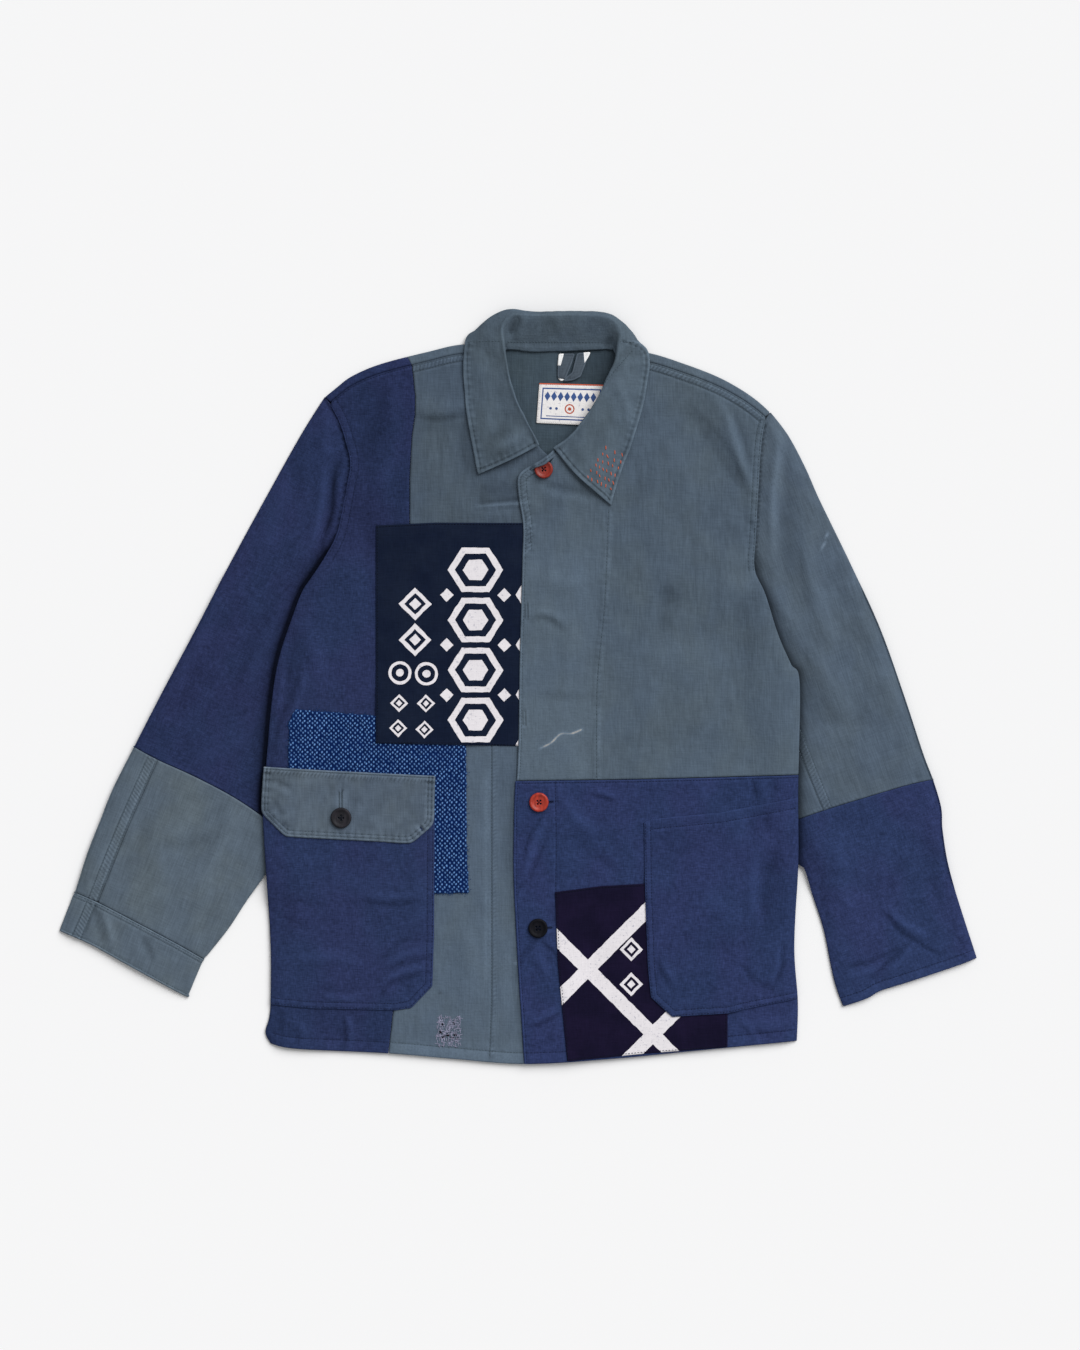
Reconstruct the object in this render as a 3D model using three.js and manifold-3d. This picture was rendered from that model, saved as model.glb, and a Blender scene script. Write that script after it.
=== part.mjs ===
// A patched work jacket laid flat on its back, front up, collar towards +Y. Millimetres, +Z up.
// Right and left are the wearer's: the right sleeve points to -X. Each piece of cloth is a wall
// CLOTH thick. All plies of the body share one grid, so a ply is the ply below it, moved up.
import * as THREE from "three";
import { mergeVertices } from "three/addons/utils/BufferGeometryUtils.js";
import Module from "manifold-3d";

const wasm = await Module();
wasm.setup();

// Driving dimensions
const CLOTH = 1.0; // one ply of cloth, with its turned-in edges
const GAP = 0.3; // between neighbouring pieces
const PLY = CLOTH + GAP; // step from one ply to the ply on it
const LOFT = 0.9; // air between the back and the front
const SWELL = 0.8; // share by which the loft grows in its soft waves
const FOLD = 14; // width over which a panel turns down to a folded edge
const TUCK_LIFT = 4.2; // how far the body rises over a sleeve tucked under it
const TUCK_RAMP = 40; // width of that rise
const SHOULDER_TURN = 10; // how far the back comes forward over the shoulders
const OVERLAP_END = 45; // hidden edge of the right front, under the left front
const FAR = 60; // how far a cutting outline runs past the cloth
const LINE_SAMPLES = 240; // points along a line when it is read by x or by y
const SIDE_RISE = 35; // below an armpit, the length over which the side fold begins
const TUCK_START = 30; // below an armpit, the length over which the tuck begins
const RIGHT_TUCK_END = [-250, -204]; // the levels between which the right sleeve comes out
const LEFT_TUCK_END = [-240, -194]; // the same for the left sleeve
const TUCK_MARGIN = 6; // the body is fully up this far outside a tucked sleeve's edge
const NECK_RIGHT = -19; // where the neck seam starts at the right shoulder
const NECK_LEFT = 104; // and where it ends at the left shoulder
const FOLD_WALL = 1.5; // thickness of the cloth where it turns round a fold
const BUTTON = { radius: 10.3, thickness: 3.0, hole: 1.0, pitch: 2.3 };
const FLAP_BUTTON = { radius: 11, thickness: 3.2, hole: 1.0, pitch: 2.4 };
const COLLAR_BUTTON = { radius: 9.6, thickness: 3.0, hole: 0.9, pitch: 2.2 };

// Colours of the cloths and the trim
const GREEN = 0x52616e;
const GREEN_INSIDE = 0x3e4b55;
const BLUE = 0x2d3959;
const DARK = 0x181f30;
const PURPLE = 0x19162b;
const KASURI = 0x233f68;
const WHITE = 0xe1e1e1;
const RED = 0xa84632;
const BLACK = 0x22222a;

// A smooth line through a few points, read by its length, by x or by y
function line(points) {
  const curve = new THREE.SplineCurve(points.map(([x, y]) => new THREE.Vector2(x, y)));
  const samples = curve.getSpacedPoints(LINE_SAMPLES);
  function lookUp(known, wanted, value) {
    for (let i = 1; i < samples.length; i++) {
      const a = samples[i - 1];
      const b = samples[i];
      const crosses = (a[known] - value) * (b[known] - value) <= 0 && a[known] !== b[known];
      if (!crosses) continue;
      const share = (value - a[known]) / (b[known] - a[known]);
      return a[wanted] + (b[wanted] - a[wanted]) * share;
    }
    const first = samples[0];
    const last = samples.at(-1);
    const firstIsNearer = Math.abs(first[known] - value) < Math.abs(last[known] - value);
    return firstIsNearer ? first[wanted] : last[wanted];
  }
  return {
    at: (t) => curve.getPointAt(Math.min(1, Math.max(0, t))),
    xAt: (y) => lookUp("y", "x", y),
    yAt: (x) => lookUp("x", "y", x),
  };
}

// 0 before a, 1 after b, smooth between, either way round
function ramp(a, b, value) {
  const t = Math.min(1, Math.max(0, (value - a) / (b - a)));
  return t * t * (3 - 2 * t);
}

// How far a lid has risen at a distance from its folded edge: 0 at the edge, 1 past the fold
const rise = (distance) => Math.sin((Math.PI / 2) * Math.min(1, Math.max(0, distance / FOLD)));

// Outlines of the body
const bodyRightEdge = line([
  [-262, -378.4], [-268, -366], [-263, -344.5], [-262, -294], [-263, -260], [-266, -209],
  [-270.5, -125], [-267, -82.7], [-260.8, -13.8], [-253.3, 30.7], [-239.6, 73], [-229, 100.7],
  [-219, 116], [-203.5, 140], [-191.5, 165], [-182.4, 209.7], [-178, 236], [-182.4, 258.3],
  [-190.5, 282.6], [-204.6, 307.4],
]);
const bodyLeftEdge = line([
  [295.7, -375.2], [296.8, -334], [293, -275], [296.8, -188.7], [296.8, -109], [298.5, 3.6],
  [288.9, 24.8], [275.5, 56], [262, 98.5], [250.9, 125.2], [252, 158.7], [254.3, 203],
  [257, 248], [261, 277], [267.7, 290.8],
]);
const hem = line([
  [-262, -378.4], [-233, -383.7], [-136.7, -388.5], [-67.8, -394.3], [6.4, -399.6],
  [97.5, -394.3], [186.6, -385.8], [295.7, -375.2],
]);
const topEdge = line([
  [-204.6, 307.4], [-193, 317], [-176, 329.7], [-146, 342.4], [-97.5, 355], [-56.7, 363.4],
  [-14, 359], [22, 354.5], [61, 357.4], [103, 358.3], [140, 354], [177, 342.4], [210, 329.7],
  [234, 317], [253, 304], [267.7, 290.8],
]);
const RIGHT_ARMPIT = 140;
const LEFT_ARMPIT = 125;

// Inner edges of the sleeves, from the armpit to the wrist, tucked under the body at first
const rightSleeveInner = line([
  [-198, 152], [-212, 112], [-224, 70], [-231, 0], [-240, -80], [-247, -130], [-256, -172],
  [-267, -197], [-288, -227], [-306.8, -255.7], [-327.7, -282.2], [-349.4, -326],
]);
const leftSleeveInner = line([
  [246, 136], [256, 98], [264, 60], [271, 20], [277, -20], [282, -70], [286, -120],
  [291, -165], [297.2, -187.5], [303.7, -193], [312.4, -221], [324.3, -258], [335, -310],
  [344.8, -338.9],
]);
const rightSleeveOuter = line([
  [-201.5, 308.8], [-231, 266], [-269, 198], [-306, 130], [-341, 62.5], [-377, -5.3],
  [-407, -63.6], [-443, -142], [-465, -208], [-486.5, -258.6],
]);
const leftSleeveOuter = line([
  [264.5, 292.5], [287, 266], [305, 232], [320, 198], [353, 130], [383.7, 62.5],
  [408, -5.3], [439.9, -98.2], [449.4, -150], [459, -202.5], [486.5, -287.3],
]);
const rightSleeveHead = line([[-201.5, 308.8], [-186, 283], [-173, 236], [-178, 205], [-198, 152]]);
const leftSleeveHead = line([[264.5, 292.5], [256, 277], [251, 248], [248, 190], [246, 136]]);
const rightCuffEdge = line([[-486.5, -258.6], [-420, -291.4], [-352, -327.5], [-349.4, -326]]);
const leftCuffEdge = line([
  [486.5, -287.3], [463.8, -296], [416, -312], [370.8, -329.7], [344.8, -338.9],
]);

// Heights. The body rises over the tucked part of each sleeve.
function tuckLift(x, y) {
  const right =
    ramp(RIGHT_ARMPIT, RIGHT_ARMPIT - TUCK_START, y) *
    ramp(...RIGHT_TUCK_END, y) *
    ramp(TUCK_RAMP, 0, x - rightSleeveInner.xAt(y) - TUCK_MARGIN);
  const left =
    ramp(LEFT_ARMPIT, LEFT_ARMPIT - TUCK_START, y) *
    ramp(...LEFT_TUCK_END, y) *
    ramp(TUCK_RAMP, 0, leftSleeveInner.xAt(y) - TUCK_MARGIN - x);
  return TUCK_LIFT * Math.max(right, left);
}

// Soft waves of the upper plies, from 0 to 1
const wave = (x, y) => 0.5 + 0.5 * Math.sin(x / 61 + 0.8) * Math.cos(y / 83 - 0.4);

// Underside of the front where it lies on the back: down at the side folds and the shoulders
function frontHeight(x, y) {
  const rightSide = ramp(RIGHT_ARMPIT, RIGHT_ARMPIT - SIDE_RISE, y);
  const leftSide = ramp(LEFT_ARMPIT, LEFT_ARMPIT - SIDE_RISE, y);
  const right = 1 - rightSide * (1 - rise(x - bodyRightEdge.xAt(y)));
  const left = 1 - leftSide * (1 - rise(bodyLeftEdge.xAt(y) - x));
  const shoulder = rise(topEdge.yAt(x) - y);
  return tuckLift(x, y) + PLY + LOFT * right * left * shoulder * (1 + SWELL * wave(x, y));
}

// 1 where the dark patch has risen over the speckled patch below it
const onSpeckled = (x, y) => ramp(60, 20, y) * ramp(8, -25, x);

// Plies under the left front: the right front, and the dark patch on it down to PATCH_FOOT
const PATCH_FOOT = -62;
function leftFrontPly(x, y) {
  const pliesBelow = 1 + ramp(PATCH_FOOT - 80, PATCH_FOOT - 40, y) + onSpeckled(x, y);
  return PLY * pliesBelow * ramp(OVERLAP_END + 90, OVERLAP_END + 40, x);
}

// A grid of x,y between four outlines that meet at their ends
function grid(bottom, top, side, otherSide, across, along) {
  const corner = [side.at(0), otherSide.at(0), side.at(1), otherSide.at(1)];
  return along.map((v) =>
    across.map((u) => {
      const low = bottom.at(u);
      const high = top.at(u);
      const near = side.at(v);
      const far = otherSide.at(v);
      const blend = (k) =>
        (1 - v) * low[k] + v * high[k] + (1 - u) * near[k] + u * far[k] -
        (1 - v) * ((1 - u) * corner[0][k] + u * corner[1][k]) -
        v * ((1 - u) * corner[2][k] + u * corner[3][k]);
      return [blend("x"), blend("y")];
    }),
  );
}

// Points and triangles as a solid that can be cut and joined
const toSolid = (vertProperties, triVerts) =>
  new wasm.Manifold(new wasm.Mesh({ numProp: 3, vertProperties, triVerts }));

// The closed wall between two sheets of points of the same rows and columns
function wall(lower, upper) {
  const rows = lower.length;
  const columns = lower[0].length;
  const points = [...lower.flat(), ...upper.flat()];
  const top = rows * columns;
  const faces = [];
  const quad = (a, b, c, d) => faces.push(a, b, c, a, c, d);
  for (let i = 0; i < rows - 1; i++) {
    for (let j = 0; j < columns - 1; j++) {
      const a = i * columns + j;
      quad(top + a, top + a + 1, top + a + columns + 1, top + a + columns);
      quad(a, a + columns, a + columns + 1, a + 1);
    }
  }
  for (let j = 0; j < columns - 1; j++) {
    const last = (rows - 1) * columns + j;
    quad(j, j + 1, top + j + 1, top + j);
    quad(last + 1, last, top + last, top + last + 1);
  }
  for (let i = 0; i < rows - 1; i++) {
    const first = i * columns;
    const last = first + columns - 1;
    quad(first + columns, first, top + first, top + first + columns);
    quad(last, last + columns, top + last + columns, top + last);
  }
  return toSolid(new Float32Array(points.flat()), new Uint32Array(faces));
}

// A ply over a grid, from height low(x, y) to height high(x, y)
const ply = (cells, low, high) =>
  wall(
    cells.map((row) => row.map(([x, y]) => [x, y, low(x, y)])),
    cells.map((row) => row.map(([x, y]) => [x, y, high(x, y)])),
  );

// A geometry from three.js as such a solid
function solid(geometry) {
  const bare = geometry.clone();
  bare.deleteAttribute("normal");
  bare.deleteAttribute("uv");
  const merged = mergeVertices(bare, 1e-3);
  return toSolid(merged.attributes.position.array, merged.index.array);
}

// The upright block inside an outline, used only to cut cloth to its shape
const CUTTER_HEIGHT = 60;
function cutter(outline) {
  const points = outline.map(([x, y]) => new THREE.Vector2(x, y));
  const options = { depth: CUTTER_HEIGHT, bevelEnabled: false };
  const block = new THREE.ExtrudeGeometry(new THREE.Shape(points), options);
  block.translate(0, 0, -CUTTER_HEIGHT / 3);
  return solid(block);
}

// A list of points moved by dx, dy
const shifted = (path, dx, dy) => path.map(([x, y]) => [x + dx, y + dy]);

// A smooth line's points as an outline stretch, moved by dx, dy
const stretch = (path, steps, dx = 0, dy = 0) =>
  Array.from({ length: steps + 1 }, (_, i) => {
    const p = path.at(i / steps);
    return [p.x + dx, p.y + dy];
  });

// Spacing of the body's grid: close at the folds, wide in the middle
const EDGE_STEPS = [0, 5, 14, 30, 50, 76];
const BODY_WIDTH = 560;
const MIDDLE_COLUMNS = 8;
function bodyColumns() {
  const near = EDGE_STEPS.map((mm) => mm / BODY_WIDTH);
  const inner = near.at(-1);
  const middle = Array.from(
    { length: MIDDLE_COLUMNS - 1 },
    (_, i) => inner + ((1 - 2 * inner) * (i + 1)) / MIDDLE_COLUMNS,
  );
  return [...near, ...middle, ...near.map((u) => 1 - u).reverse()];
}
const BODY_LENGTH = 710;
const TOP_STEPS = [24, 10, 4, 0];
const BODY_ROWS = 15;
function bodyRows() {
  const near = TOP_STEPS.map((mm) => 1 - mm / BODY_LENGTH);
  return [...Array.from({ length: BODY_ROWS }, (_, i) => (near[0] * i) / BODY_ROWS), ...near];
}
const bodyGrid = grid(hem, topEdge, bodyRightEdge, bodyLeftEdge, bodyColumns(), bodyRows());

// A ply of the front that lies k(x, y) above the front's own underside
const frontPly = (k) =>
  ply(
    bodyGrid,
    (x, y) => frontHeight(x, y) + k(x, y),
    (x, y) => frontHeight(x, y) + k(x, y) + CLOTH,
  );
const rightFrontPly = frontPly(() => 0);
const leftFrontSheet = frontPly(leftFrontPly);

// Seams of the body, from shoulder to hem
const sideSeam = [
  [-112.4, FAR + 355], [-112.4, 340], [-109.1, 308], [-109.3, 288], [-112.6, 265], [-115, 221],
  [-115, 173.5], [-131, -334], [-133.4, -352], [-137.5, -389], [-141, -FAR - 390],
];
const shoulderSeam = (dy) => stretch(topEdge, 40, 0, dy - SHOULDER_TURN);

// Front edge of the left front: round at the neck, nearly straight down to the waist seam
const waistSeam = [[-FAR, -99.6], [110, -98.3], [296.2, -93.3], [296.2 + FAR, -92.5]];
const leftFrontEdge = [
  [35.8, 249], [22.3, 239], [10.6, 233], [1.6, 225.8], [-0.6, 217], [1, 199], [5.3, 172],
  [4.8, 140], [3.5, 91.5], [1.6, 18.4], [0.6, -54.5], [-1.4, -98.4],
];
const leftLowerEdge = [[-2.8, -99.3], [-4.9, -194], [-2.8, -246], [3.1, -332], [6.5, -399.2 - FAR]];
const rightNeck = [
  [NECK_RIGHT, 352], [-16, 330], [-9, 306], [3, 283], [17, 262], [30, 247], [OVERLAP_END, 240],
];
const leftNeck = [
  [NECK_LEFT, 352], [102.5, 338], [96, 322], [86, 301], [73, 280], [58, 262], [44, 251],
];

// The front's cut at its top: under the shoulder seam, and around the neck
const rightTop = shoulderSeam(-GAP / 2).filter(([x]) => x < NECK_RIGHT);
const leftTop = shoulderSeam(-GAP / 2).filter(([x]) => x > NECK_LEFT);

function rightSideFront() {
  const seam = shifted(sideSeam, -GAP / 2, 0);
  const x0 = seam[0][0];
  const corner = [x0, topEdge.yAt(x0) - SHOULDER_TURN - GAP / 2];
  const top = [[-FAR - 205, 290], ...rightTop.filter(([x]) => x < x0 - 2), corner];
  return rightFrontPly.intersect(cutter([...top, ...seam.slice(1), [-FAR - 262, -FAR - 378]]));
}

function rightFront() {
  const seam = shifted(sideSeam, GAP / 2, 0);
  const x0 = seam[0][0];
  const corner = [x0, topEdge.yAt(x0) - SHOULDER_TURN - GAP / 2];
  const top = [corner, ...rightTop.filter(([x]) => x > x0 + 2), ...rightNeck];
  const foot = [[OVERLAP_END, -FAR - 399], ...seam.slice(1).reverse()];
  return rightFrontPly.intersect(cutter([...top, ...foot]));
}

function leftFrontUpper() {
  const waist = waistSeam.map(([x, y]) => [x, y + GAP / 2]).slice(1);
  const top = [...leftNeck.slice().reverse(), ...leftTop, [267.7 + FAR, 285]];
  const outline = [...top, ...waist.reverse(), ...leftFrontEdge.slice().reverse()];
  return leftFrontSheet.intersect(cutter(outline));
}

function leftFrontLower() {
  const waist = waistSeam.map(([x, y]) => [x, y - GAP / 2]).slice(1);
  const outline = [...leftLowerEdge, [296 + FAR, -FAR - 375], ...waist.reverse()];
  return leftFrontSheet.intersect(cutter(outline));
}

// The back: a floor ply, turned forward over each shoulder to the shoulder seam
function backPly() {
  const floor = ply(bodyGrid, tuckLift, (x, y) => tuckLift(x, y) + CLOTH);
  const shoulderRows = bodyGrid.slice(-TOP_STEPS.length - 1);
  const turn = ply(shoulderRows, frontHeight, (x, y) => frontHeight(x, y) + CLOTH);
  const fold = ply(
    shoulderRows,
    () => CLOTH / 2,
    (x, y) => frontHeight(x, y) + CLOTH / 2,
  );
  const over = stretch(topEdge, 40, 0, FAR);
  const seam = shoulderSeam(GAP / 2);
  const foldFoot = stretch(topEdge, 40, 0, -FOLD_WALL);
  const turnCut = (side) => cutter([...over.filter(side), ...seam.filter(side).reverse()]);
  const foldCut = (side) => cutter([...over.filter(side), ...foldFoot.filter(side).reverse()]);
  const right = ([x]) => x < NECK_RIGHT;
  const left = ([x]) => x > NECK_LEFT + 2;
  let back = floor;
  for (const side of [right, left]) {
    back = back.add(turn.intersect(turnCut(side))).add(fold.intersect(foldCut(side)));
  }
  return back;
}

function backPanels() {
  const back = backPly();
  const right = [[-FAR - 300, FAR + 355], ...shifted(sideSeam, -GAP / 2, 0), [-FAR - 300, -FAR - 390]];
  const main = [[FAR + 300, FAR + 355], ...shifted(sideSeam, GAP / 2, 0), [FAR + 300, -FAR - 390]];
  return { back_side_panel: back.intersect(cutter(right)), back_panel: back.intersect(cutter(main)) };
}

// What lies on the right front: the speckled patch, the dark patch, the pocket and its flap
const speckledOutline = [
  [-234.7, -23.6], [-152.6, -30.5], [-55.1, -37.1], [-54.5, -160], [-52, -218.4],
  [-87, -218.9], [-242.7, -215.2], [-242.7, -37],
];
const darkOutline = [
  [-150.5, 171.2], [-88, 174.2], [32, 173.6], [31, -63], [-110, -60.5], [-150.5, -59.5],
];
const rightPocketOutline = [
  [-267 - FAR, -97], [-89, -97], [-88.3, -153.5], [-89, -264], [-90.8, -317], [-113, -340],
  [-130.4, -342.7], [-220.5, -340.6], [-262 - FAR, -336],
];
const flapOutline = [
  [-267.3 - FAR, -84.3], [-267.3, -84.5], [-200, -88.5], [-87.5, -94.2], [-88.6, -143.8],
  [-114.5, -165.1], [-243.8, -159], [-271, -133.2], [-271 - FAR, -133],
];
const rightPieces = {
  patch_speckled: () => frontPly(() => PLY).intersect(cutter(speckledOutline)),
  patch_dark: () => frontPly((x, y) => PLY * (1 + onSpeckled(x, y))).intersect(cutter(darkOutline)),
  right_pocket: () =>
    frontPly((x, y) => PLY * (1 + ramp(-290, -250, y))).intersect(cutter(rightPocketOutline)),
  right_pocket_flap: () => frontPly(() => 3 * PLY).intersect(cutter(flapOutline)),
};

// What lies on the lower left front: the lattice patch, and the pocket over its corner
const latticeOutline = [
  [39.3, -217.2], [88, -211], [134.4, -208.4], [222, -204], [222, -381.6], [52.2, -396.4],
  [50, -373], [42.3, -294.7],
];
const leftPocketOutline = [
  [134, -143], [140.7, -139.5], [214.5, -132.8], [296.8 + FAR, -117], [296.8 + FAR, -330],
  [242.7, -341], [222, -345.8], [163.2, -349.6], [140.7, -328.6], [137.4, -294.7],
];
const onLattice = (x, y) => ramp(290, 262, x) * ramp(-125, -165, y);
const latticePly = (x, y) => leftFrontPly(x, y) + PLY;
const leftPocketPly = (x, y) => leftFrontPly(x, y) + PLY * (1 + onLattice(x, y));
const leftPieces = {
  patch_lattice: () => frontPly(latticePly).intersect(cutter(latticeOutline)),
  left_pocket: () => frontPly(leftPocketPly).intersect(cutter(leftPocketOutline)),
};

// Sleeves. Each is a floor ply and a lid over one grid, cut clear of the body's armhole.
const SLEEVE_COLUMNS = [0, 0.025, 0.07, 0.16, 0.38, 0.62, 0.84, 0.93, 0.975, 1];
const SLEEVE_ROWS = Array.from({ length: 13 }, (_, i) => i / 12);
function sleeveGrid(head, cuff, outer, inner) {
  return grid(head, cuff, outer, inner, SLEEVE_COLUMNS, SLEEVE_ROWS);
}

const SLEEVE_SLANT = 0.87; // level distance to a sleeve edge, times this, is the distance square to it
function lidHeight(outer, inner) {
  return (x, y) => {
    const outside = Math.abs(x - outer.xAt(y)) * SLEEVE_SLANT;
    const inside = Math.abs(x - inner.xAt(y)) * SLEEVE_SLANT;
    const open = x < 0 ? ramp(-235, -290, y) : ramp(-250, -310, y);
    const shape = rise(outside) * (1 - (1 - rise(inside)) * (1 - open * 0.2));
    return PLY + LOFT * shape * (1 + SWELL * wave(x, y));
  };
}

// The block over the body from a level below the armpit upwards, to cut the sleeves clear of it;
// side is -1 at the right armhole and +1 at the left
const RIGHT_ARMHOLE_FOOT = 104;
const LEFT_ARMHOLE_FOOT = 89;
const ARMHOLE_CLEAR = 1.3 * GAP;
function armholeCutter(column, side, foot) {
  const edge = bodyGrid.map((row) => row.at(column));
  const first = edge.findIndex(([, y]) => y > foot);
  const [x0, y0] = edge[first - 1];
  const [x1, y1] = edge[first];
  const footX = x0 + ((x1 - x0) * (foot - y0)) / (y1 - y0);
  const moved = [[footX, foot], ...edge.slice(first)].map(([x, y]) => [x + side * ARMHOLE_CLEAR, y]);
  const [endX, endY] = moved.at(-1);
  const inside = -side * 2 * FAR;
  return cutter([...moved, [endX, endY + FAR], [endX + inside, endY + FAR], [footX + inside, foot]]);
}

function sleeve(cells, outer, inner, armhole) {
  const lid = lidHeight(outer, inner);
  const under = ply(cells, () => 0, () => CLOTH).subtract(armhole);
  const top = ply(cells, lid, (x, y) => lid(x, y) + CLOTH).subtract(armhole);
  const folds = ply(cells, () => CLOTH / 2, (x, y) => lid(x, y) + CLOTH / 2).subtract(armhole);
  return { under, top, folds };
}

// A half plane beyond a cutting line, on the side towards a far point
const beyond = (path, far) => cutter([...path, ...far]);

function rightSleeve() {
  const cells = sleeveGrid(rightSleeveHead, rightCuffEdge, rightSleeveOuter, rightSleeveInner)
    .map((row) => row.reverse());
  const armhole = armholeCutter(0, -1, RIGHT_ARMHOLE_FOOT);
  const { under, top, folds } = sleeve(cells, rightSleeveOuter, rightSleeveInner, armhole);
  const colourSeam = [
    [-460, -36], [-407, -63.6], [-341, -96.7], [-297.3, -120.3], [-270, -138.3], [-200, -187],
  ];
  const cuffSeam = [[-520, -199], [-470.5, -217.8], [-405, -250], [-333.3, -288.9], [-280, -320]];
  const felledSeam = [[-368, -42], [-382.6, -77], [-445.9, -228.2], [-466, -272]];
  const upper = beyond(shifted(colourSeam, 0, GAP / 2), [[-100, FAR + 320], [-520, FAR + 320]]);
  const lower = beyond(shifted(colourSeam, 0, -GAP / 2), [[-200, -450], [-600, -450], [-600, -36]]);
  const aboveCuff = beyond(shifted(cuffSeam, 0, GAP / 2), [[-200, 0], [-520, 0]]);
  const cuff = beyond(shifted(cuffSeam, 0, -GAP / 2), [[-280, -400], [-600, -400]]);
  const insideFell = beyond(shifted(felledSeam, GAP / 2, 0), [[-200, -400], [-150, -42]]);
  const outsideFell = beyond(shifted(felledSeam, -GAP / 2, 0), [[-600, -300], [-560, -42]]);
  const outerFold = edgeBand(rightSleeveOuter, 1);
  const innerFold = edgeBand(rightSleeveInner, -1);
  const end = lower.intersect(aboveCuff);
  const turned = top.intersect(outsideFell).add(folds.intersect(outerFold));
  const band = under.add(top).add(folds.intersect(outerFold)).add(folds.intersect(innerFold));
  return {
    right_sleeve_top: top.intersect(upper),
    right_sleeve_under: under.intersect(upper),
    right_sleeve_end_top: top.intersect(end).intersect(insideFell),
    right_sleeve_end_under: under.add(turned).intersect(end),
    right_cuff: band.intersect(cuff),
  };
}

function leftSleeve() {
  const cells = sleeveGrid(leftSleeveHead, leftCuffEdge, leftSleeveOuter, leftSleeveInner);
  const armhole = armholeCutter(-1, 1, LEFT_ARMHOLE_FOOT);
  const { under, top } = sleeve(cells, leftSleeveOuter, leftSleeveInner, armhole);
  const colourSeam = [
    [200, -168], [297.2, -140.3], [364, -118.7], [412, -103.6], [439.9, -98.2], [520, -84],
  ];
  const upper = beyond(shifted(colourSeam, 0, GAP / 2), [[520, FAR + 320], [100, FAR + 320]]);
  const lower = beyond(shifted(colourSeam, 0, -GAP / 2), [[600, -450], [200, -450]]);
  return {
    left_sleeve_top: top.intersect(upper),
    left_sleeve_under: under.intersect(upper),
    left_sleeve_end_top: top.intersect(lower),
    left_sleeve_end_under: under.intersect(lower),
  };
}

// A narrow band along a sleeve's edge, where the cloth folds round; side is +1 towards +X
function edgeBand(edge, side) {
  const inner = stretch(edge, 28, side * FOLD_WALL, 0);
  const outer = stretch(edge, 28, -side * 4 * FOLD_WALL, 0);
  return cutter([...inner, ...outer.reverse()]);
}

// The collar: a stand that rises from the neck seam, and a fall folded over it.
// Each station, from the right front's end round the neck to the left's, gives the neck seam,
// the roll line, the fall's middle and its edge; z of null: the point rests on the front below.
const COLLAR_CLOTH = 1.4; // two plies sewn together
const COLLAR_CLEAR = 1.3; // from the front up to the fall
const FALL_ARCH = 2.2; // how far the fall's middle stands over its edge
const collarStations = [
  [[17.5, 258, null], [22, 256, 9.5], [-8, 240, null], [-42, 225, null]],
  [[11, 271, null], [15.5, 268.5, 10.5], [-12, 256, null], [-46.5, 247, null]],
  [[2.5, 286, null], [7, 284.5, 11.5], [-20, 277, null], [-51, 272, null]],
  [[-6.5, 304, null], [-2, 303, 12.5], [-27, 301, null], [-55.5, 301, null]],
  [[-13.5, 325, null], [-9, 325, 13.5], [-32, 327, null], [-57.5, 329, null]],
  [[-17.5, 345, null], [-13, 346, 14], [-34, 350, 7.5], [-57.6, 352, null]],
  [[-14.5, 358.5, 3.2], [-16, 366, 14.5], [-37, 371, 8.5], [-54, 370, 2.2]],
  [[-10, 358.8, 1.8], [-16, 381, 15], [-37, 384.5, 6], [-41, 377.5, 1.6]],
  [[-2, 358.2, 1.4], [-6, 391.5, 15], [-13, 398.6, 6], [-15, 379, 1.6]],
  [[16, 356, 1.4], [16, 391, 15], [17, 394.8, 6], [18, 372, 1.6]],
  [[42, 356.6, 1.4], [43, 391.5, 15], [44, 394.9, 6], [44, 371, 1.6]],
  [[68, 358, 1.4], [69, 391.5, 15], [70, 395, 6], [70, 371, 1.6]],
  [[90, 358.8, 1.4], [96, 388.5, 15], [100, 391.5, 6], [96, 372, 1.6]],
  [[98, 358.9, 1.8], [107, 376, 15], [120.5, 375, 6], [116, 368.5, 1.6]],
  [[103, 358.5, 3.4], [106.5, 362, 14.5], [124, 362, 8], [134, 360, 2.2]],
  [[107, 344, null], [103.5, 344, 14], [121, 342, 8], [139.2, 344, null]],
  [[100, 326, null], [96, 328, 13.5], [114, 322, null], [136.5, 320, null]],
  [[91, 307, null], [87, 309.5, 12.5], [106, 299, null], [131, 292, null]],
  [[80, 288, null], [76, 291, 12.5], [96, 277, null], [123.5, 267, null]],
  [[66.5, 269.5, null], [62.5, 272.5, 12], [83, 256, null], [114, 241, null]],
  [[53, 256.5, null], [49, 259.5, 11.5], [71, 238, null], [105, 214, null]],
  [[42, 250, null], [38, 252.5, 11], [62, 224, null], [98.5, 192.5, null]],
];
function frontTop(x, y) {
  const under = Math.min(y, topEdge.yAt(x) - 0.5);
  return frontHeight(x, under) + CLOTH + (x > -20 ? leftFrontPly(x, under) : 0);
}

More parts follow.
